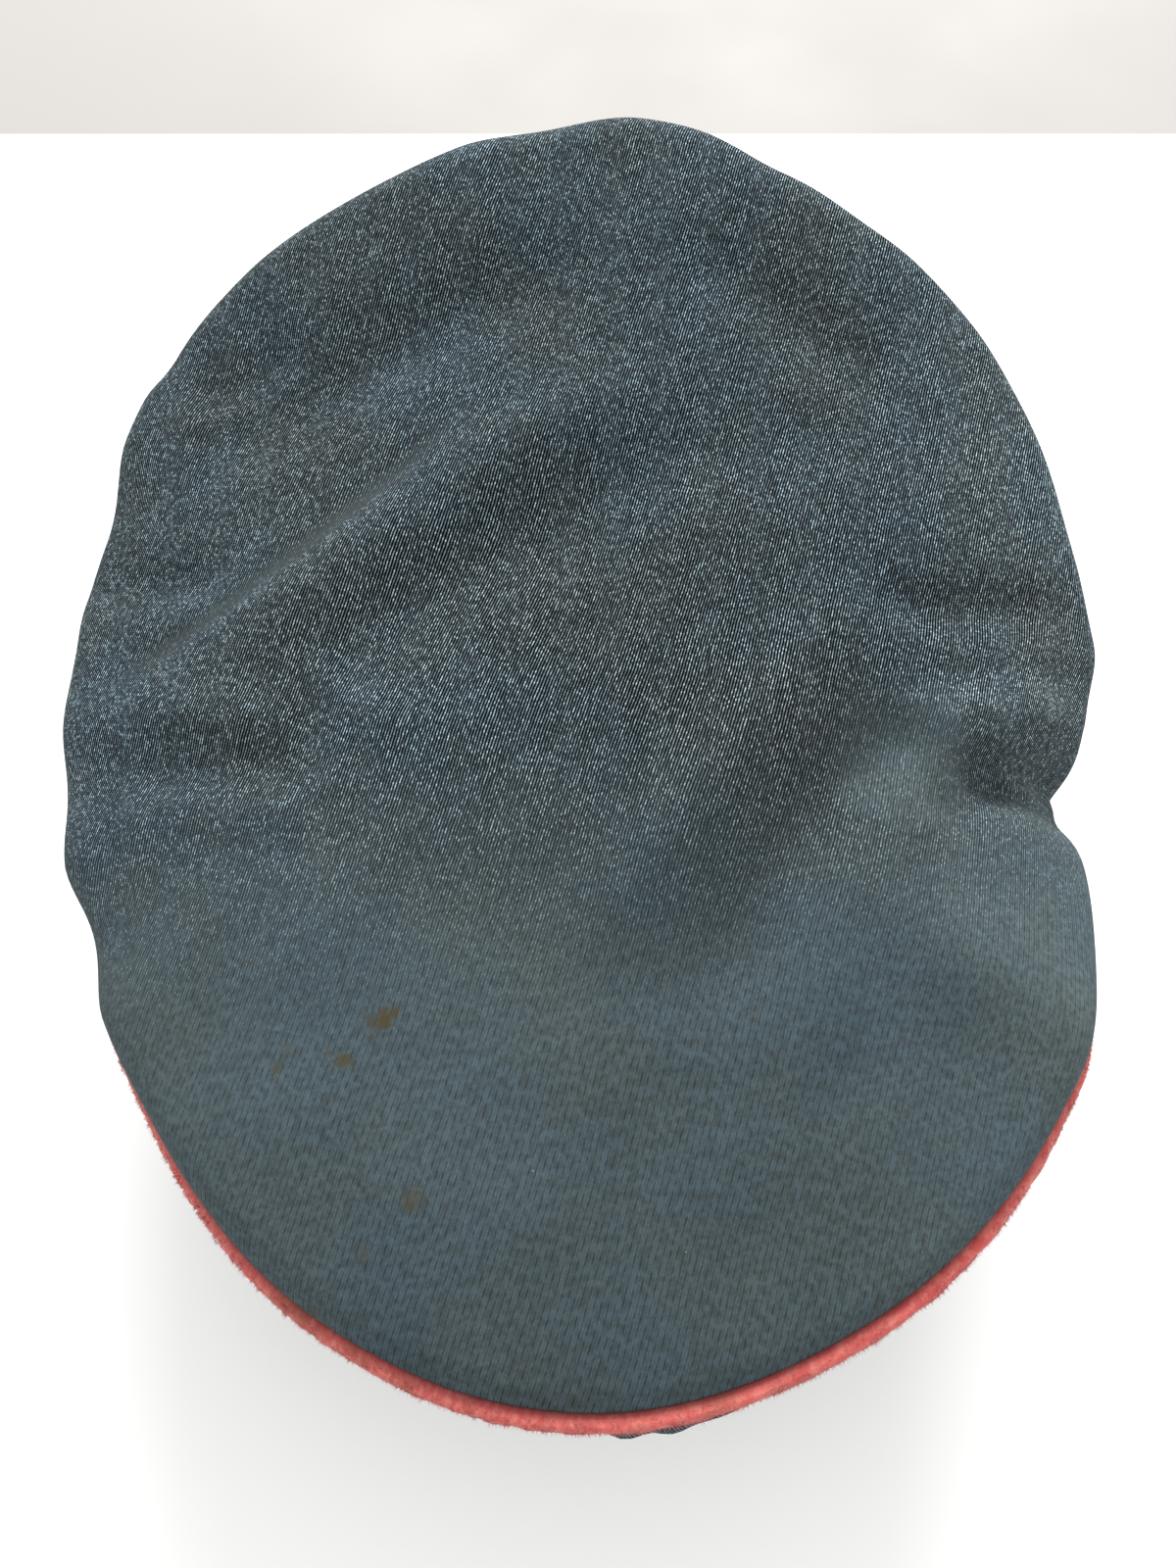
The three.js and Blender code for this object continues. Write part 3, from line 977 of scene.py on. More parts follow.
@dataclass
class CrownWelt(CapPiece):
    """The felt welt in the seam under the crown edge, with its nap of loose fibres.

    Angles go round the welt from its outermost line, and lengths are in millimetres.
    """

    name: str = "crown_piping"
    slot: ClassVar[Slot] = Slot.PIPING_FELT
    turns: int = 900
    sides: int = 14
    lump: Ripple = Ripple(0.16, 2.5, 9, seed=21, waves=22)
    lump_level: float = 0.5
    seam_shade_level: float = 0.25
    seam_shade_slope: float = 0.75
    fibres: int = 30000
    fibre_angle: float = 100.0
    fibre_length: tuple[float, float] = (0.35, 1.3)
    fibre_cut: tuple[float, float] = (0.5, 1.0)
    fibre_radius: float = 0.06
    fibre_root: float = 0.15
    fibre_lean: float = 0.48
    core_depth: float = 1.0
    seed: int = 31

    def swell(self, turn: Array, angle: Array) -> Array:
        """How far the felt stands out at a turn and an angle round the welt."""
        run, girth = np.radians(turn) * FORM.rim_reach(turn), np.radians(angle) * FORM.welt_half_width
        lumps = self.lump.at(run, girth * cos_of(angle / 2) ** 2)
        return lumps * smooth_step(self.lump_level + cos_of(angle))

    def felt_place(self, turn: Array, angle: Array) -> Array:
        """Places on the felt in metres, along the welt and round it."""
        run, girth = np.radians(turn) * FORM.rim(turn, "reach"), np.radians(angle) * FORM.welt_half_width
        return flat_place(run, girth)

    def build(self) -> bpy.types.Object:
        """Builds the welt."""
        turn = even_turns(self.turns)
        angle = -even_turns(self.sides).T
        points = FORM.welt(turn, angle, self.swell(turn, angle))
        # Painted shade: how far the felt sits in the seam
        seam_shade = smooth_step(self.seam_shade_level - self.seam_shade_slope * cos_of(angle))
        values = {"cloth": self.felt_place(turn, angle), "seam_shade": np.broadcast_to(seam_shade, points.shape[:2])}
        return Wall(points, values).piece(self.name + "_felt")

    def build_nap(self) -> bpy.types.Object:
        """Builds the loose fibres that stand out of the felt, each a thin three-sided spike."""
        rng = np.random.default_rng(self.seed)
        turn = rng.uniform(0, FULL_TURN, self.fibres)[:, None]
        angle = rng.uniform(-self.fibre_angle, self.fibre_angle, self.fibres)[:, None]
        root = FORM.welt(turn, angle, self.swell(turn, angle))[:, 0]
        core = FORM.welt(turn, angle, np.full_like(turn, -self.core_depth))[:, 0]
        heading = unit(unit(root - core) + rng.normal(0, self.fibre_lean, (self.fibres, 3)))
        length = rng.uniform(*self.fibre_length, self.fibres)[:, None]
        length = length * rng.uniform(*self.fibre_cut, self.fibres)[:, None]
        aside = unit(np.cross(heading, rng.normal(0, 1, (self.fibres, 3))))
        other = np.cross(heading, aside)
        base = root - heading * self.fibre_root
        corners = [
            base + self.fibre_radius * (math.cos(a) * aside + math.sin(a) * other)
            for a in (0, 2 * math.pi / 3, 4 * math.pi / 3)
        ]
        points = np.stack([*corners, root + heading * length], axis=1).reshape(-1, 3)
        pattern = np.array([[0, 1, 3], [1, 2, 3], [2, 0, 3], [2, 1, 0]])
        spike_points = len(corners) + 1
        first = spike_points * np.arange(self.fibres)[:, None, None]
        faces = (pattern[None] + first).reshape(-1, 3).tolist()
        cloth = np.repeat(self.felt_place(turn, angle)[:, 0], spike_points, axis=0)
        values = {"cloth": cloth, "seam_shade": np.zeros((len(cloth), 1))}
        return make_piece(self.name + "_nap", points, faces, values)

    def dress(self, piece: bpy.types.Object, material: bpy.types.Material) -> None:
        """Puts the felt on the welt, and its nap of the same felt round it."""
        super().dress(piece, material)
        finish_piece(self.build_nap(), material, self.slot)


@dataclass
class Band(CapPiece):
    """The cloth band that the head goes into, with lengths in millimetres."""

    name: str = "band"
    slot: ClassVar[Slot] = Slot.BAND_CLOTH
    turns: int = 240
    rows: int = 20
    belly: float = 0.35
    slack: Ripple = Ripple(0.12, 12, 40, seed=41)
    hem_width: float = 3.0

    def build(self) -> bpy.types.Object:
        turn = even_turns(self.turns)
        share = inner_rows(FORM.band_wall / 2 / FORM.band_height, self.rows)
        down = share * FORM.band_height
        run = np.radians(turn) * FORM.band_half_width
        bulge = (self.belly + self.slack.at(run, down)) * np.sin(math.pi * share) ** 2
        reach = FORM.band_reach(turn, FORM.band_wall) + bulge
        outer = FORM.place(turn, reach, FORM.band_lift(turn) + FORM.band_height - down)
        hem = near_edge(np.minimum(down, FORM.band_height - down), self.hem_width)
        values = {"cloth": flat_place(run, down), "hem": np.broadcast_to(hem, reach.shape)}
        wall = Wall.about(outer, grid_normals(outer, closed=True), FORM.band_wall, True, values)
        piece = wall.piece(self.name + "_cloth")
        return piece


@dataclass
class Peak(CapPiece):
    """The plain leather peak, sewn in under the band at the front.

    half_span is a turn, roundness bends the outline, and lengths are in millimetres.
    """

    name: str = "peak"
    slot: ClassVar[Slot] = Slot.PEAK_LEATHER
    length: float = 42.0
    half_span: float = 65.0
    roundness: float = 0.6
    camber: float = 2.5
    wall: float = 2.4
    most_inset: float = 0.4
    hem_width: float = 2.5
    columns: int = 130
    rows: int = 34

    def build(self) -> bpy.types.Object:
        """Builds the peak."""
        turn = (self.half_span * np.sin(np.linspace(-math.pi / 2, math.pi / 2, self.columns)))[:, None]
        width = np.maximum(1 - (turn / self.half_span) ** 2, 0) ** self.roundness
        depth = FORM.band_wall + self.length * width
        share = inner_rows(np.minimum(self.wall / 2 / depth, self.most_inset), self.rows)
        root = FORM.band_lift(turn) - FORM.gap
        arch = self.camber * width * 4 * share * (1 - share)
        height = blend(root, blend(root, self.wall, width), share) + arch
        outer = FORM.place(turn, FORM.band_reach(turn, 0) + share * depth, height)
        values = {"cloth": outer * MM, "hem": near_edge((1 - share) * depth, self.hem_width)}
        wall = Wall.about(outer, grid_normals(outer, closed=False), self.wall, True, values)
        return wall.piece(self.name + "_leather", closed=False)


class NodeBoard:
    """Places nodes in one tree and joins their sockets."""

    def __init__(self, tree: bpy.types.NodeTree) -> None:
        """Works on a tree."""
        self.tree = tree

    def add(self, kind: str, feeds: dict[Union[str, int], Feed], **settings: object) -> bpy.types.Node:
        """Adds a node.

        Args:
            kind: The node's type.
            feeds: What goes into its inputs: a socket to link, or a plain value.
            settings: The node's own settings.

        Returns:
            The node.
        """
        node = self.tree.nodes.new(kind)
        for key, value in settings.items():
            setattr(node, key, value)
        for key, value in feeds.items():
            self.feed(node.inputs[key], value)
        return node

    def feed(self, socket: Socket, value: Feed) -> None:
        """Links a socket to another one, or sets its value."""
        if isinstance(value, bpy.types.NodeSocket):
            self.tree.links.new(value, socket)
        else:
            socket.default_value = value

    def math(self, operation: str, *values: Feed) -> Socket:
        """The result of a sum on numbers."""
        return self.add("ShaderNodeMath", dict(enumerate(values)), operation=operation).outputs[0]

    def times(self, first: Feed, second: Feed) -> Socket:
        """Two numbers multiplied."""
        return self.math("MULTIPLY", first, second)

    def inverse(self, value: Feed) -> Socket:
        """One less a number."""
        return self.math("SUBTRACT", 1.0, value)

    def join(self, x: Feed, y: Feed, z: Feed = 0.0) -> Socket:
        """A vector from its three parts."""
        return self.add("ShaderNodeCombineXYZ", {0: x, 1: y, 2: z}).outputs[0]

    def split(self, vector: Feed) -> bpy.types.NodeOutputs:
        """The three parts of a vector."""
        return self.add("ShaderNodeSeparateXYZ", {0: vector}).outputs

    def noise(self, vector: Feed, scale: Feed, detail: float = 2.0, roughness: float = 0.5) -> Socket:
        """Soft noise between 0 and 1."""
        feeds = {"Vector": vector, "Scale": scale, "Detail": detail, "Roughness": roughness}
        return self.add("ShaderNodeTexNoise", feeds).outputs[0]

    def remap(self, value: Feed, low: Feed, high: Feed, to_low: Feed = 0.0, to_high: Feed = 1.0) -> Socket:
        """A value eased from one range to another and held inside it."""
        feeds = {0: value, 1: low, 2: high, 3: to_low, 4: to_high}
        return self.add("ShaderNodeMapRange", feeds, interpolation_type="SMOOTHSTEP").outputs[0]

    def between(self, mask: Feed, ends: tuple[float, float]) -> Socket:
        """A value eased from one end to the other as a mask goes from 0 to 1."""
        return self.remap(mask, 0.0, 1.0, *ends)

    def mix(self, share: Feed, first: Feed, second: Feed, blend_type: str = "MIX") -> Socket:
        """A mix of two colours."""
        feeds = {0: share, 6: first, 7: second}
        return self.add("ShaderNodeMix", feeds, data_type="RGBA", blend_type=blend_type).outputs[2]

    def cover(self, colour: Feed, mask: Feed, share: float, other: Feed) -> Socket:
        """A colour with a share of another one over it where a mask shows."""
        return self.mix(self.times(mask, share), colour, other)

    def tint(self, colour: Feed, other: Feed) -> Socket:
        """A colour multiplied by another one."""
        return self.mix(1.0, colour, other, "MULTIPLY")

    def shade(self, colour: Feed, value: Feed) -> Socket:
        """A colour multiplied by a number."""
        grey = self.add("ShaderNodeCombineColor", {0: value, 1: value, 2: value}).outputs[0]
        return self.tint(colour, grey)

    def attribute(self, name: str, output: str = "Fac") -> Socket:
        """A value that the mesh holds under a name."""
        return self.add("ShaderNodeAttribute", {}, attribute_name=name).outputs[output]

    def group(self, tree: bpy.types.NodeTree, feeds: dict[Union[str, int], Feed]) -> bpy.types.NodeOutputs:
        """The outputs of a node group placed here."""
        node = self.tree.nodes.new("ShaderNodeGroup")
        node.node_tree = tree
        for key, value in feeds.items():
            self.feed(node.inputs[key], value)
        return node.outputs


class Effect:
    """A node group that several finishes share."""

    title: str = ""
    inputs: dict[str, str] = {}
    outputs: tuple[str, ...] = ()

    def tree(self) -> bpy.types.NodeTree:
        """The group, made the first time that it is asked for."""
        made = bpy.data.node_groups.get(self.title)
        if made is not None:
            return made
        made = bpy.data.node_groups.new(self.title, "ShaderNodeTree")
        for name, kind in self.inputs.items():
            made.interface.new_socket(name, in_out="INPUT", socket_type="NodeSocket" + kind)
        for name in self.outputs:
            made.interface.new_socket(name, in_out="OUTPUT", socket_type="NodeSocketFloat")
        board = NodeBoard(made)
        results = self.draw(board, made.nodes.new("NodeGroupInput").outputs)
        board.add("NodeGroupOutput", dict(enumerate(results)))
        return made

    def draw(self, board: NodeBoard, given: bpy.types.NodeOutputs) -> list[Socket]:
        """Draws the group's nodes and gives one socket for each output."""
        raise NotImplementedError


class RibWeave(Effect):
    """Slanting ribs, each of two strings of staggered beads, with lengths in metres."""

    title = "Rib weave"
    inputs = {
        "Cloth": "Vector",
        "Rib Pitch": "Float",
        "Row Pitch": "Float",
        "Lean": "Float",
        "Beading": "Float",
    }
    outputs = ("Height", "Tone", "Streak", "Rib")
    sway_patch: float = 0.07
    sway: float = 0.004
    wobble_patch: float = 0.004
    wobble: float = 0.0003
    slant: float = 0.5
    stagger: float = 0.5
    streak_length: float = 0.0018

    def draw(self, board: NodeBoard, given: bpy.types.NodeOutputs) -> list[Socket]:
        """Draws the ribs, the beads and the streaks along them."""
        drift = board.noise(given["Cloth"], 1 / self.sway_patch, detail=1.0)
        sway = board.times(board.math("SUBTRACT", drift, 0.5), self.sway)
        tremble = board.noise(given["Cloth"], 1 / self.wobble_patch, detail=1.0)
        sway = board.math("MULTIPLY_ADD", tremble, self.wobble, sway)
        x, y, _ = board.split(given["Cloth"])
        lean_cos, lean_sin = board.math("COSINE", given["Lean"]), board.math("SINE", given["Lean"])
        across = board.math("SUBTRACT", board.times(x, lean_cos), board.times(y, lean_sin))
        across = board.math("ADD", across, sway)
        along = board.math("ADD", board.times(x, lean_sin), board.times(y, lean_cos))
        ribs = board.math("DIVIDE", across, given["Rib Pitch"])
        spot = board.math("FRACT", ribs)
        string = board.math("FLOOR", board.times(ribs, 2.0))
        rib = board.math("SINE", board.times(spot, math.pi))
        wave = board.math("SINE", board.times(spot, 2 * math.pi))
        crest = board.math("POWER", board.math("ABSOLUTE", wave), 2.0)
        rows = board.math("DIVIDE", along, given["Row Pitch"])
        rows = board.math("MULTIPLY_ADD", spot, self.slant, rows)
        rows = board.math("MULTIPLY_ADD", string, self.stagger, rows)
        bead = board.math("SINE", board.times(board.math("FRACT", rows), math.pi))
        sunk = board.times(given["Beading"], board.inverse(bead))
        height = board.times(crest, board.inverse(sunk))
        cell = board.join(string, board.math("FLOOR", rows))
        pick = board.add("ShaderNodeTexWhiteNoise", {"Vector": cell}, noise_dimensions="2D")
        streak = board.noise(board.join(ribs, board.math("DIVIDE", along, self.streak_length)), 1.0)
        return [height, pick.outputs["Value"], streak, rib]


class Mottle(Effect):
    """Soft patches of tone, sized in metres."""

    title = "Mottle"
    inputs = {"Place": "Vector", "Patch": "Float", "Low": "Float", "High": "Float"}
    outputs = ("Mask",)
    detail: float = 4.0
    roughness: float = 0.6

    def draw(self, board: NodeBoard, given: bpy.types.NodeOutputs) -> list[Socket]:
        """Draws the patches between a low and a high level of noise."""
        scale = board.math("DIVIDE", 1.0, given["Patch"])
        patches = board.noise(given["Place"], scale, self.detail, self.roughness)
        return [board.remap(patches, given["Low"], given["High"])]


class Lint(Effect):
    """Sparse specks of pale lint."""

    title = "Lint"
    inputs = {"Place": "Vector", "Spacing": "Float", "Size": "Float", "Share": "Float"}
    outputs = ("Mask",)
    core: float = 0.4

    def draw(self, board: NodeBoard, given: bpy.types.NodeOutputs) -> list[Socket]:
        """Draws specks of a size in metres, in a share of cells of a spacing in metres."""
        scale = board.math("DIVIDE", 1.0, given["Spacing"])
        cells = board.add("ShaderNodeTexVoronoi", {"Vector": given["Place"], "Scale": scale})
        reach = board.math("DIVIDE", given["Size"], given["Spacing"])
        pick = board.split(cells.outputs["Color"])[0]
        inside = board.remap(cells.outputs["Distance"], reach, board.times(reach, self.core))
        return [board.times(inside, board.math("LESS_THAN", pick, given["Share"]))]


@dataclass(frozen=True)
class Ribs:
    """Ribs of a cloth: pitches in metres, lean in radians, and how deep the beads are parted."""

    rib_pitch: float
    row_pitch: float
    lean: float
    beading: float

    def on(self, board: NodeBoard, cloth: Socket) -> bpy.types.NodeOutputs:
        """The weave's outputs on a cloth."""
        feeds = {
            "Cloth": cloth,
            "Rib Pitch": self.rib_pitch,
            "Row Pitch": self.row_pitch,
            "Lean": self.lean,
            "Beading": self.beading,
        }
        return board.group(RibWeave().tree(), feeds)


@dataclass(frozen=True)
class Patches:
    """Soft patches: their size in metres, and the levels of noise between which they come up."""

    size: float
    low: float
    high: float

    def on(self, board: NodeBoard, place: Socket) -> Socket:
        """The patches' mask on a finish."""
        feeds = {"Place": place, "Patch": self.size, "Low": self.low, "High": self.high}
        return board.group(Mottle().tree(), feeds)["Mask"]


@dataclass(frozen=True)
class Specks:
    """Specks of lint: spacing and size in metres, and the share of places that hold one."""

    spacing: float
    size: float
    share: float

    def on(self, board: NodeBoard, place: Socket) -> Socket:
        """The specks' mask on a finish."""
        feeds = {"Place": place, "Spacing": self.spacing, "Size": self.size, "Share": self.share}
        return board.group(Lint().tree(), feeds)["Mask"]


@dataclass(frozen=True)
class Look:
    """What a finish draws: its colour, the mask that its roughness follows, and its height, if any."""

    colour: Socket
    mask: Socket
    height: Optional[Socket] = None


@dataclass(frozen=True)
class Finish:
    """A material drawn with nodes.

    roughness is eased over a span of the look's mask, shine is the specular level, relief is how strongly
    the look's height shows, and depth is that height in metres.
    """

    title: str
    roughness: tuple[float, float]
    shine: float
    span: tuple[float, float] = (0.0, 1.0)
    sheen: float = 0.0
    relief: float = 0.0
    depth: float = 0.0

    def material(self) -> bpy.types.Material:
        """Makes the material."""
        material = bpy.data.materials.new(self.title)
        material.use_nodes = True
        board, shader = NodeBoard(material.node_tree), material.node_tree.nodes["Principled BSDF"]
        look = self.draw(board)
        board.feed(shader.inputs["Base Color"], look.colour)
        board.feed(shader.inputs["Roughness"], board.remap(look.mask, *self.span, *self.roughness))
        board.feed(shader.inputs["Specular IOR Level"], self.shine)
        board.feed(shader.inputs["Sheen Weight"], self.sheen)
        if look.height is not None:
            feeds = {"Strength": self.relief, "Distance": self.depth, "Height": look.height}
            board.feed(shader.inputs["Normal"], board.add("ShaderNodeBump", feeds).outputs["Normal"])
        return material

    def draw(self, board: NodeBoard) -> Look:
        """Draws the finish's own nodes."""
        raise NotImplementedError


@dataclass(frozen=True)
class RibbedCloth(Finish):
    """Worn blue-grey ribbed cloth of the crown.

    The crisp weave shows thread by thread. It turns into a soft one of grain and dashes as it is rubbed.
    """

    title: str = "ribbed_cloth"
    roughness: tuple[float, float] = (0.95, 0.72)
    shine: float = 0.04
    relief: float = 0.6
    depth: float = 0.0002
    thread: Colour = (0.264, 0.356, 0.403, 1)
    rubbed: Colour = (0.0452, 0.0625, 0.0695, 1)
    blue: Colour = (0.96, 1.0, 1.04, 1)
    brown: Colour = (1.04, 1.0, 0.965, 1)
    plain: Colour = (1.0, 1.0, 1.0, 1)
    # Painted light: tint of the paler places where light and sheen are painted in
    pale: Colour = (1.45, 1.4, 1.34, 1)
    # Painted shade: tint of the darker places where shade is painted in
    painted_shade_tint: Colour = (0.86, 0.82, 0.78, 1)
    crease: Colour = (0.041, 0.047, 0.045, 1)
    soil: Colour = (0.062, 0.048, 0.022, 1)
    # Painted highlight: paler tone near the cloth's edges by the welt, where the rolled cloth catches light
    hem: Colour = (0.095, 0.103, 0.11, 1)
    lint: Colour = (0.2, 0.22, 0.21, 1)
    ribs: Ribs = Ribs(0.00121, 0.0006, math.radians(17), 0.16)
    crest_power: float = 4.5
    least_tone: float = 0.4
    tone_gain: float = 0.9
    sparkle_gain: float = 1.4
    sparkle_power: float = 8.0
    groove_power: float = 2.0
    dash_span: tuple[float, float] = (0.36, 0.6)
    dash_gain: float = -0.6
    dash_base: float = 1.09
    blotches: Patches = Patches(0.0018, 0.3, 0.7)
    blotch_tone: tuple[float, float] = (1.18, 0.82)
    hues: Patches = Patches(0.045, 0.38, 0.62)
    clouds: Patches = Patches(0.009, 0.2, 0.8)
    cloud_tone: tuple[float, float] = (0.96, 1.04)
    crease_share: float = 0.85
    hem_share: float = 0.15
    specks: Specks = Specks(0.009, 0.0003, 0.12)
    ragged_scale: float = 800.0
    ragged_detail: float = 4.0
    ragged_gain: float = 2.2
    ragged_base: float = -0.1
    mark_edge: tuple[float, float] = (1.3, 0.3)

    def draw(self, board: NodeBoard) -> Look:
        """Draws the weave, its wear and its marks, with painted light and painted shade in places."""
        cloth, rub = board.attribute("cloth", "Vector"), board.attribute("rub")
        weave = self.ribs.on(board, cloth)
        colour = board.mix(rub, self.crisp(board, weave), self.soft(board, weave, cloth))
        colour = board.tint(colour, board.mix(self.hues.on(board, cloth), self.blue, self.brown))
        colour = board.shade(colour, board.between(self.clouds.on(board, cloth), self.cloud_tone))
        # Painted light and painted shade: the cloth is tinted paler and darker at their places
        for tone, marks in ((self.pale, PAINTED_LIGHT_PLACES), (self.painted_shade_tint, PAINTED_SHADE_PLACES)):
            colour = board.tint(colour, board.mix(self.marked(board, cloth, marks), self.plain, tone))
        colour = board.cover(colour, board.attribute("worn"), self.crease_share, self.crease)
        colour = board.mix(self.marked(board, cloth, MARKS), colour, self.soil)
        # Painted highlight along the edges by the welt
        colour = board.cover(colour, board.attribute("hem"), self.hem_share, self.hem)
        colour = board.mix(self.specks.on(board, cloth), colour, self.lint)
        return Look(colour, weave["Height"], board.times(weave["Height"], board.inverse(rub)))

    def crisp(self, board: NodeBoard, weave: bpy.types.NodeOutputs) -> Socket:
        """Colour of the weave where its threads stand out, some of them brighter than the rest, with
        painted glints on a few beads and painted shade in the gaps between threads.
        """
        # Painted glints: a few beads lifted far above the rest
        glint = board.math("POWER", weave["Tone"], self.sparkle_power)
        sparkle = board.math("MULTIPLY_ADD", glint, self.sparkle_gain, self.least_tone)
        sparkle = board.math("MULTIPLY_ADD", weave["Tone"], self.tone_gain, sparkle)
        # Painted shade: the crest power leaves the gaps between threads near black
        crest = board.math("POWER", weave["Height"], self.crest_power)
        return board.shade(self.thread, board.times(crest, sparkle))

    def soft(self, board: NodeBoard, weave: bpy.types.NodeOutputs, cloth: Socket) -> Socket:
        """Colour of the weave where it is rubbed smooth."""
        groove = board.math("POWER", board.inverse(weave["Rib"]), self.groove_power)
        dashes = board.times(groove, board.remap(weave["Streak"], *self.dash_span))
        dashes = board.math("MULTIPLY_ADD", dashes, self.dash_gain, self.dash_base)
        blotch = self.blotches.on(board, cloth)
        colour = board.shade(self.rubbed, board.times(board.between(blotch, self.blotch_tone), dashes))
        return board.tint(colour, board.mix(blotch, self.blue, self.brown))

    def marked(self, board: NodeBoard, cloth: Socket, marks: tuple[Mark, ...]) -> Socket:
        """Mask of some marked places, ragged at their edges."""
        rough = board.noise(cloth, self.ragged_scale, self.ragged_detail)
        ragged = board.math("MULTIPLY_ADD", rough, self.ragged_gain, self.ragged_base)
        total: Feed = 0.0
        for mark in marks:
            feeds = {0: cloth, 1: (mark.x * MM, mark.y * MM, 0)}
            away = board.add("ShaderNodeVectorMath", feeds, operation="DISTANCE").outputs["Value"]
            share = board.times(board.math("DIVIDE", away, mark.radius * MM), ragged)
            total = board.math("MAXIMUM", total, board.remap(share, *self.mark_edge, 0.0, mark.strength))
        return total


@dataclass(frozen=True)
class WeltFelt(Finish):
    """Faded red felt, fuzzy and soiled in places."""

    title: str = "welt_felt"
    roughness: tuple[float, float] = (0.9, 1.0)
    shine: float = 0.1
    sheen: float = 0.25
    relief: float = 0.7
    depth: float = 0.0004
    red: Colour = (0.49, 0.072, 0.070, 1)
    pale: Colour = (0.64, 0.20, 0.165, 1)
    # Painted shade where the felt sits in the seam
    deep: Colour = (0.12, 0.014, 0.016, 1)
    soil: Colour = (0.21, 0.085, 0.045, 1)
    tufts: Patches = Patches(0.0016, 0.35, 0.75)
    fading: Patches = Patches(0.03, 0.35, 0.7)
    fading_share: float = 0.3
    soiling: Patches = Patches(0.018, 0.52, 0.72)
    soiling_share: float = 0.55
    seam_shade_share: float = 0.8
    fuzz_scale: float = 3000.0
    fuzz_detail: float = 3.0
    fuzz_roughness: float = 0.7

    def draw(self, board: NodeBoard) -> Look:
        """Draws the felt, with painted shade where it sits in the seam."""
        cloth = board.attribute("cloth", "Vector")
        matted = self.tufts.on(board, cloth)
        colour = board.mix(matted, self.red, self.pale)
        colour = board.cover(colour, self.fading.on(board, cloth), self.fading_share, self.pale)
        colour = board.cover(colour, self.soiling.on(board, cloth), self.soiling_share, self.soil)
        # Painted shade in the seam
        colour = board.cover(colour, board.attribute("seam_shade"), self.seam_shade_share, self.deep)
        fuzz = board.noise(cloth, self.fuzz_scale, self.fuzz_detail, self.fuzz_roughness)
        return Look(colour, matted, fuzz)


@dataclass(frozen=True)
class BandCloth(Finish):
    """Plain matt cloth of the band."""

    title: str = "band_cloth"
    roughness: tuple[float, float] = (0.98, 0.85)
    shine: float = 0.2
    sheen: float = 0.1
    relief: float = 0.5
    depth: float = 0.0002
    gap: Colour = (0.012, 0.017, 0.02, 1)
    thread: Colour = (0.062, 0.088, 0.104, 1)
    hem: Colour = (0.105, 0.135, 0.15, 1)
    lint: Colour = (0.5, 0.52, 0.5, 1)
    ribs: Ribs = Ribs(0.0006, 0.0006, 0.0, 0.8)
    thread_tone: tuple[float, float] = (0.7, 1.15)
    fading: Patches = Patches(0.03, 0.35, 0.65)
    fading_share: float = 0.3
    hem_share: float = 0.5
    specks: Specks = Specks(0.01, 0.0004, 0.2)

    def draw(self, board: NodeBoard) -> Look:
        """Draws the fine weave, faded in patches and at the edges."""
        cloth = board.attribute("cloth", "Vector")
        weave = self.ribs.on(board, cloth)
        level = board.times(weave["Height"], board.between(weave["Tone"], self.thread_tone))
        colour = board.mix(level, self.gap, self.thread)
        colour = board.cover(colour, self.fading.on(board, cloth), self.fading_share, self.hem)
        colour = board.cover(colour, board.attribute("hem"), self.hem_share, self.hem)
        colour = board.mix(self.specks.on(board, cloth), colour, self.lint)
        return Look(colour, weave["Height"], weave["Height"])


@dataclass(frozen=True)
class PeakLeather(Finish):
    """Dark, softly glossy leather of the peak."""

    title: str = "peak_leather"
    roughness: tuple[float, float] = (0.42, 0.56)
    shine: float = 0.16
    relief: float = 0.35
    depth: float = 0.00025
    dark: Colour = (0.010, 0.009, 0.0085, 1)
    brown: Colour = (0.028, 0.023, 0.019, 1)
    edge: Colour = (0.075, 0.055, 0.04, 1)
    grain_scale: float = 950.0
    pore_width: float = 0.25
    tones: Patches = Patches(0.035, 0.35, 0.65)
    rubs: Patches = Patches(0.006, 0.35, 0.65)
    rub_height: float = 0.3
    edge_share: float = 0.8

    def draw(self, board: NodeBoard) -> Look:
        """Draws the grain, and the wear along the peak's edge."""
        place = board.attribute("cloth", "Vector")
        feeds = {"Vector": place, "Scale": self.grain_scale}
        grain = board.add("ShaderNodeTexVoronoi", feeds, feature="DISTANCE_TO_EDGE").outputs["Distance"]
        pores = board.remap(grain, 0.0, self.pore_width)
        tone, rubbed = self.tones.on(board, place), self.rubs.on(board, place)
        colour = board.mix(tone, self.dark, self.brown)
        worn = board.times(board.attribute("hem"), rubbed)
        colour = board.cover(colour, worn, self.edge_share, self.edge)
        return Look(colour, tone, board.math("MULTIPLY_ADD", rubbed, self.rub_height, pores))


@dataclass(frozen=True)
class TablePaint(Finish):
    """Pale paint of the table, with a faint cream strip beyond its far edge."""

    title: str = "table_paint"
    roughness: tuple[float, float] = (0.55, 0.7)
    span: tuple[float, float] = (0.2, 0.8)
    shine: float = 0.2
    white: Colour = (0.88, 0.88, 0.88, 1)
    cream: Colour = (0.372, 0.356, 0.342, 1)
    far_edge: float = -0.302
    edge_blur: float = 0.001
    smear_scale: float = 9.0
    smear_detail: float = 3.0
    smear_share: float = 0.02

    def draw(self, board: NodeBoard) -> Look:
        """Draws the paint, faintly smeared."""
        place = board.add("ShaderNodeNewGeometry", {}).outputs["Position"]
        across = board.split(place)[1]
        beyond = board.remap(across, self.far_edge + self.edge_blur, self.far_edge - self.edge_blur)
        smear = board.noise(place, self.smear_scale, self.smear_detail)
        colour = board.cover(board.mix(beyond, self.white, self.cream), smear, self.smear_share, self.cream)
        return Look(colour, smear)


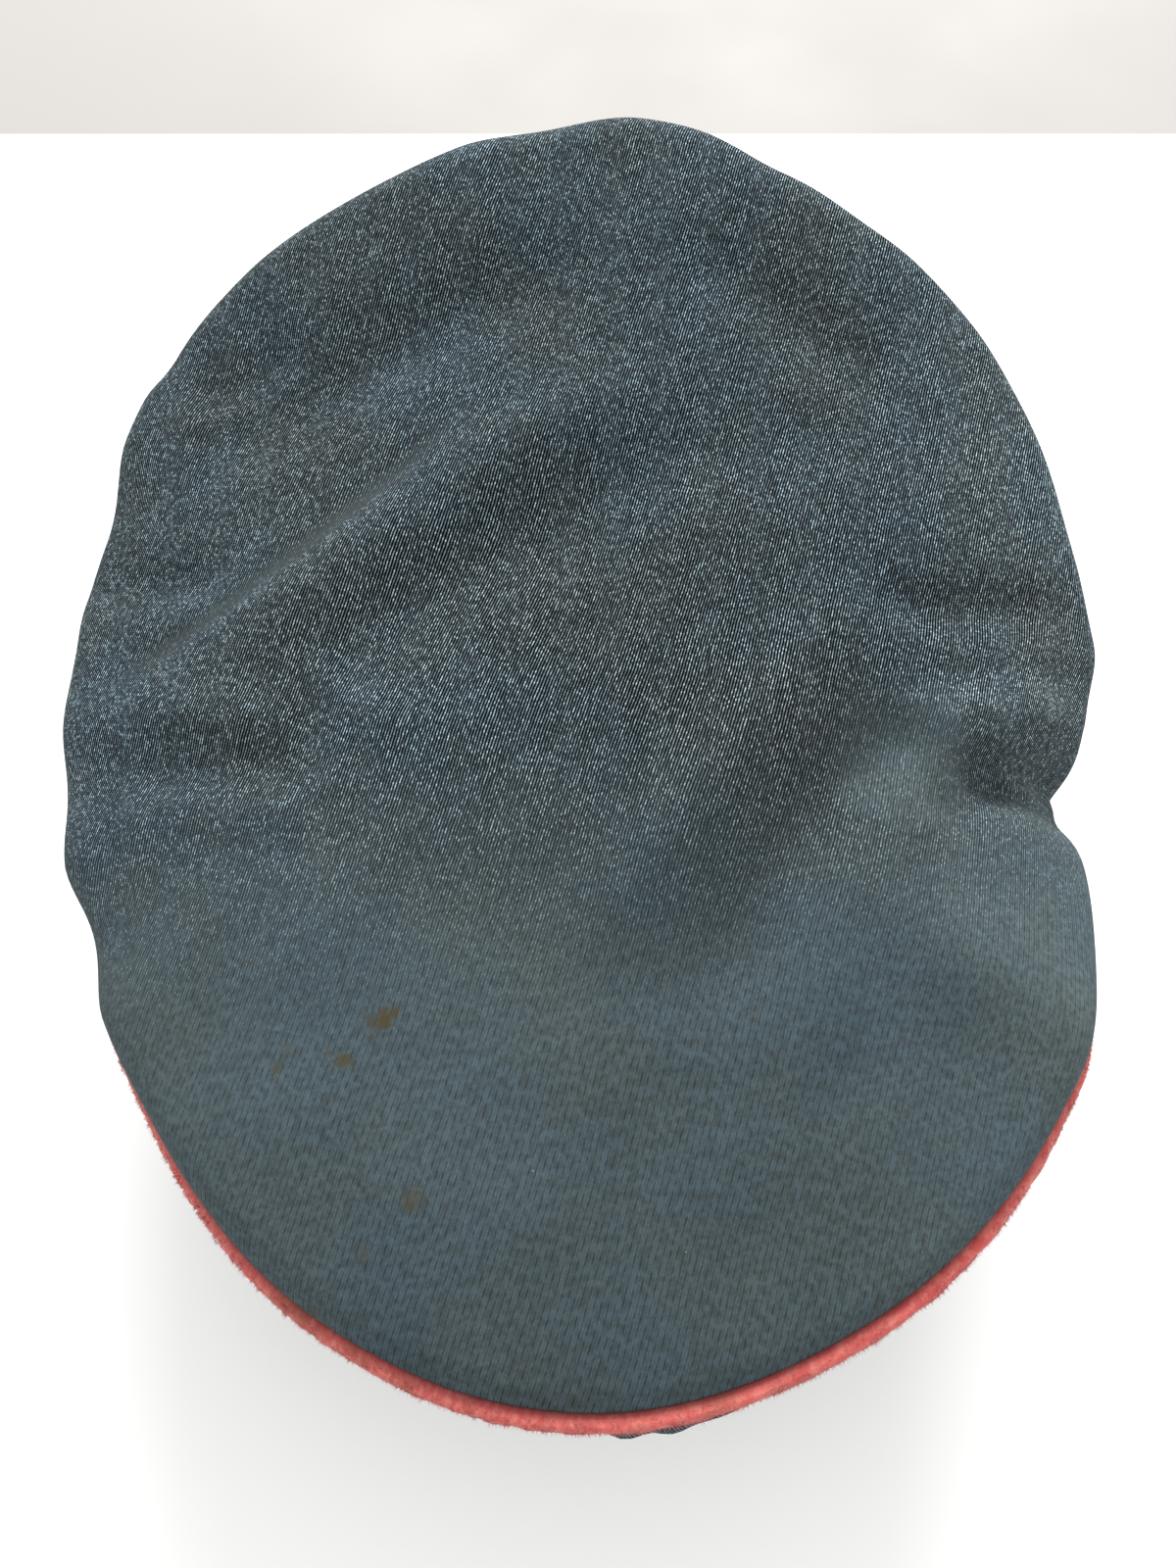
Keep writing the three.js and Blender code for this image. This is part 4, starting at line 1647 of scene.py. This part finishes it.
@dataclass
class Studio:
    """Table, light and camera."""

    table_half_side: float = 3.0
    table_drop: float = 0.0002
    sky: Colour = (1.0, 0.995, 0.985, 1)
    sky_strength: float = 1.2
    lamp_place: tuple[float, float, float] = (-0.2, -2.6, 1.4)
    lamp_aim: tuple[float, float, float] = (0.0, 0.0, 0.08)
    lamp_size: tuple[float, float] = (1.6, 1.0)
    lamp_power: float = 130.0
    camera_place: tuple[float, float, float] = (-0.0008, 0.1262, 0.3236)
    camera_aim: tuple[float, float, float] = (-0.0008, 0.0253, 0.097)
    lens: float = 27.0
    sensor: float = 36.0
    nearest: float = 0.01

    def build_table(self, material: bpy.types.Material) -> None:
        """Lays the table under the cap."""
        side = self.table_half_side
        mesh = bpy.data.meshes.new("table")
        corners = [(-side, -side), (side, -side), (side, side), (-side, side)]
        mesh.from_pydata([(x, y, -self.table_drop) for x, y in corners], [], [(0, 1, 2, 3)])
        mesh.materials.append(material)
        table = bpy.data.objects.new("table", mesh)
        bpy.context.scene.collection.objects.link(table)

    def build_light(self) -> None:
        """Lights the cap evenly from all round and softly from beyond it."""
        world = bpy.data.worlds.new("studio")
        world.use_nodes = True
        background = world.node_tree.nodes["Background"]
        background.inputs["Color"].default_value = self.sky
        background.inputs["Strength"].default_value = self.sky_strength
        bpy.context.scene.world = world
        data = bpy.data.lights.new("soft_lamp", "AREA")
        data.shape = "RECTANGLE"
        data.size, data.size_y = self.lamp_size
        data.energy = self.lamp_power
        lamp = bpy.data.objects.new("soft_lamp", data)
        self.aim(lamp, self.lamp_place, self.lamp_aim)

    def build_camera(self) -> None:
        """Sets the camera behind and above the cap."""
        data = bpy.data.cameras.new("camera")
        data.lens, data.sensor_width = self.lens, self.sensor
        data.clip_start = self.nearest
        camera = bpy.data.objects.new("camera", data)
        self.aim(camera, self.camera_place, self.camera_aim)
        bpy.context.scene.camera = camera

    def aim(self, item: bpy.types.Object, place: tuple[float, ...], target: tuple[float, ...]) -> None:
        """Puts an item in the scene at a place, turned to a target."""
        item.location = place
        item.rotation_euler = (Vector(target) - Vector(place)).to_track_quat("-Z", "Y").to_euler()
        bpy.context.scene.collection.objects.link(item)


def main() -> None:
    """Builds the cap and its studio in order."""
    logging.basicConfig(level=logging.INFO, format="%(name)s: %(message)s")
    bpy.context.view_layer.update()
    bpy.context.scene.view_settings.view_transform = "Standard"
    ribbed_cloth = RibbedCloth().material()
    plan = [(part, ribbed_cloth) for part in (CrownTop(), *QUARTERS)]
    plan += [(CrownWelt(), WeltFelt().material()), (Band(), BandCloth().material())]
    plan.append((Peak(), PeakLeather().material()))
    for part, material in plan:
        part.dress(part.build(), material)
    studio = Studio()
    studio.build_table(TablePaint().material())
    studio.build_light()
    studio.build_camera()


if __name__ == "__main__":
    main()
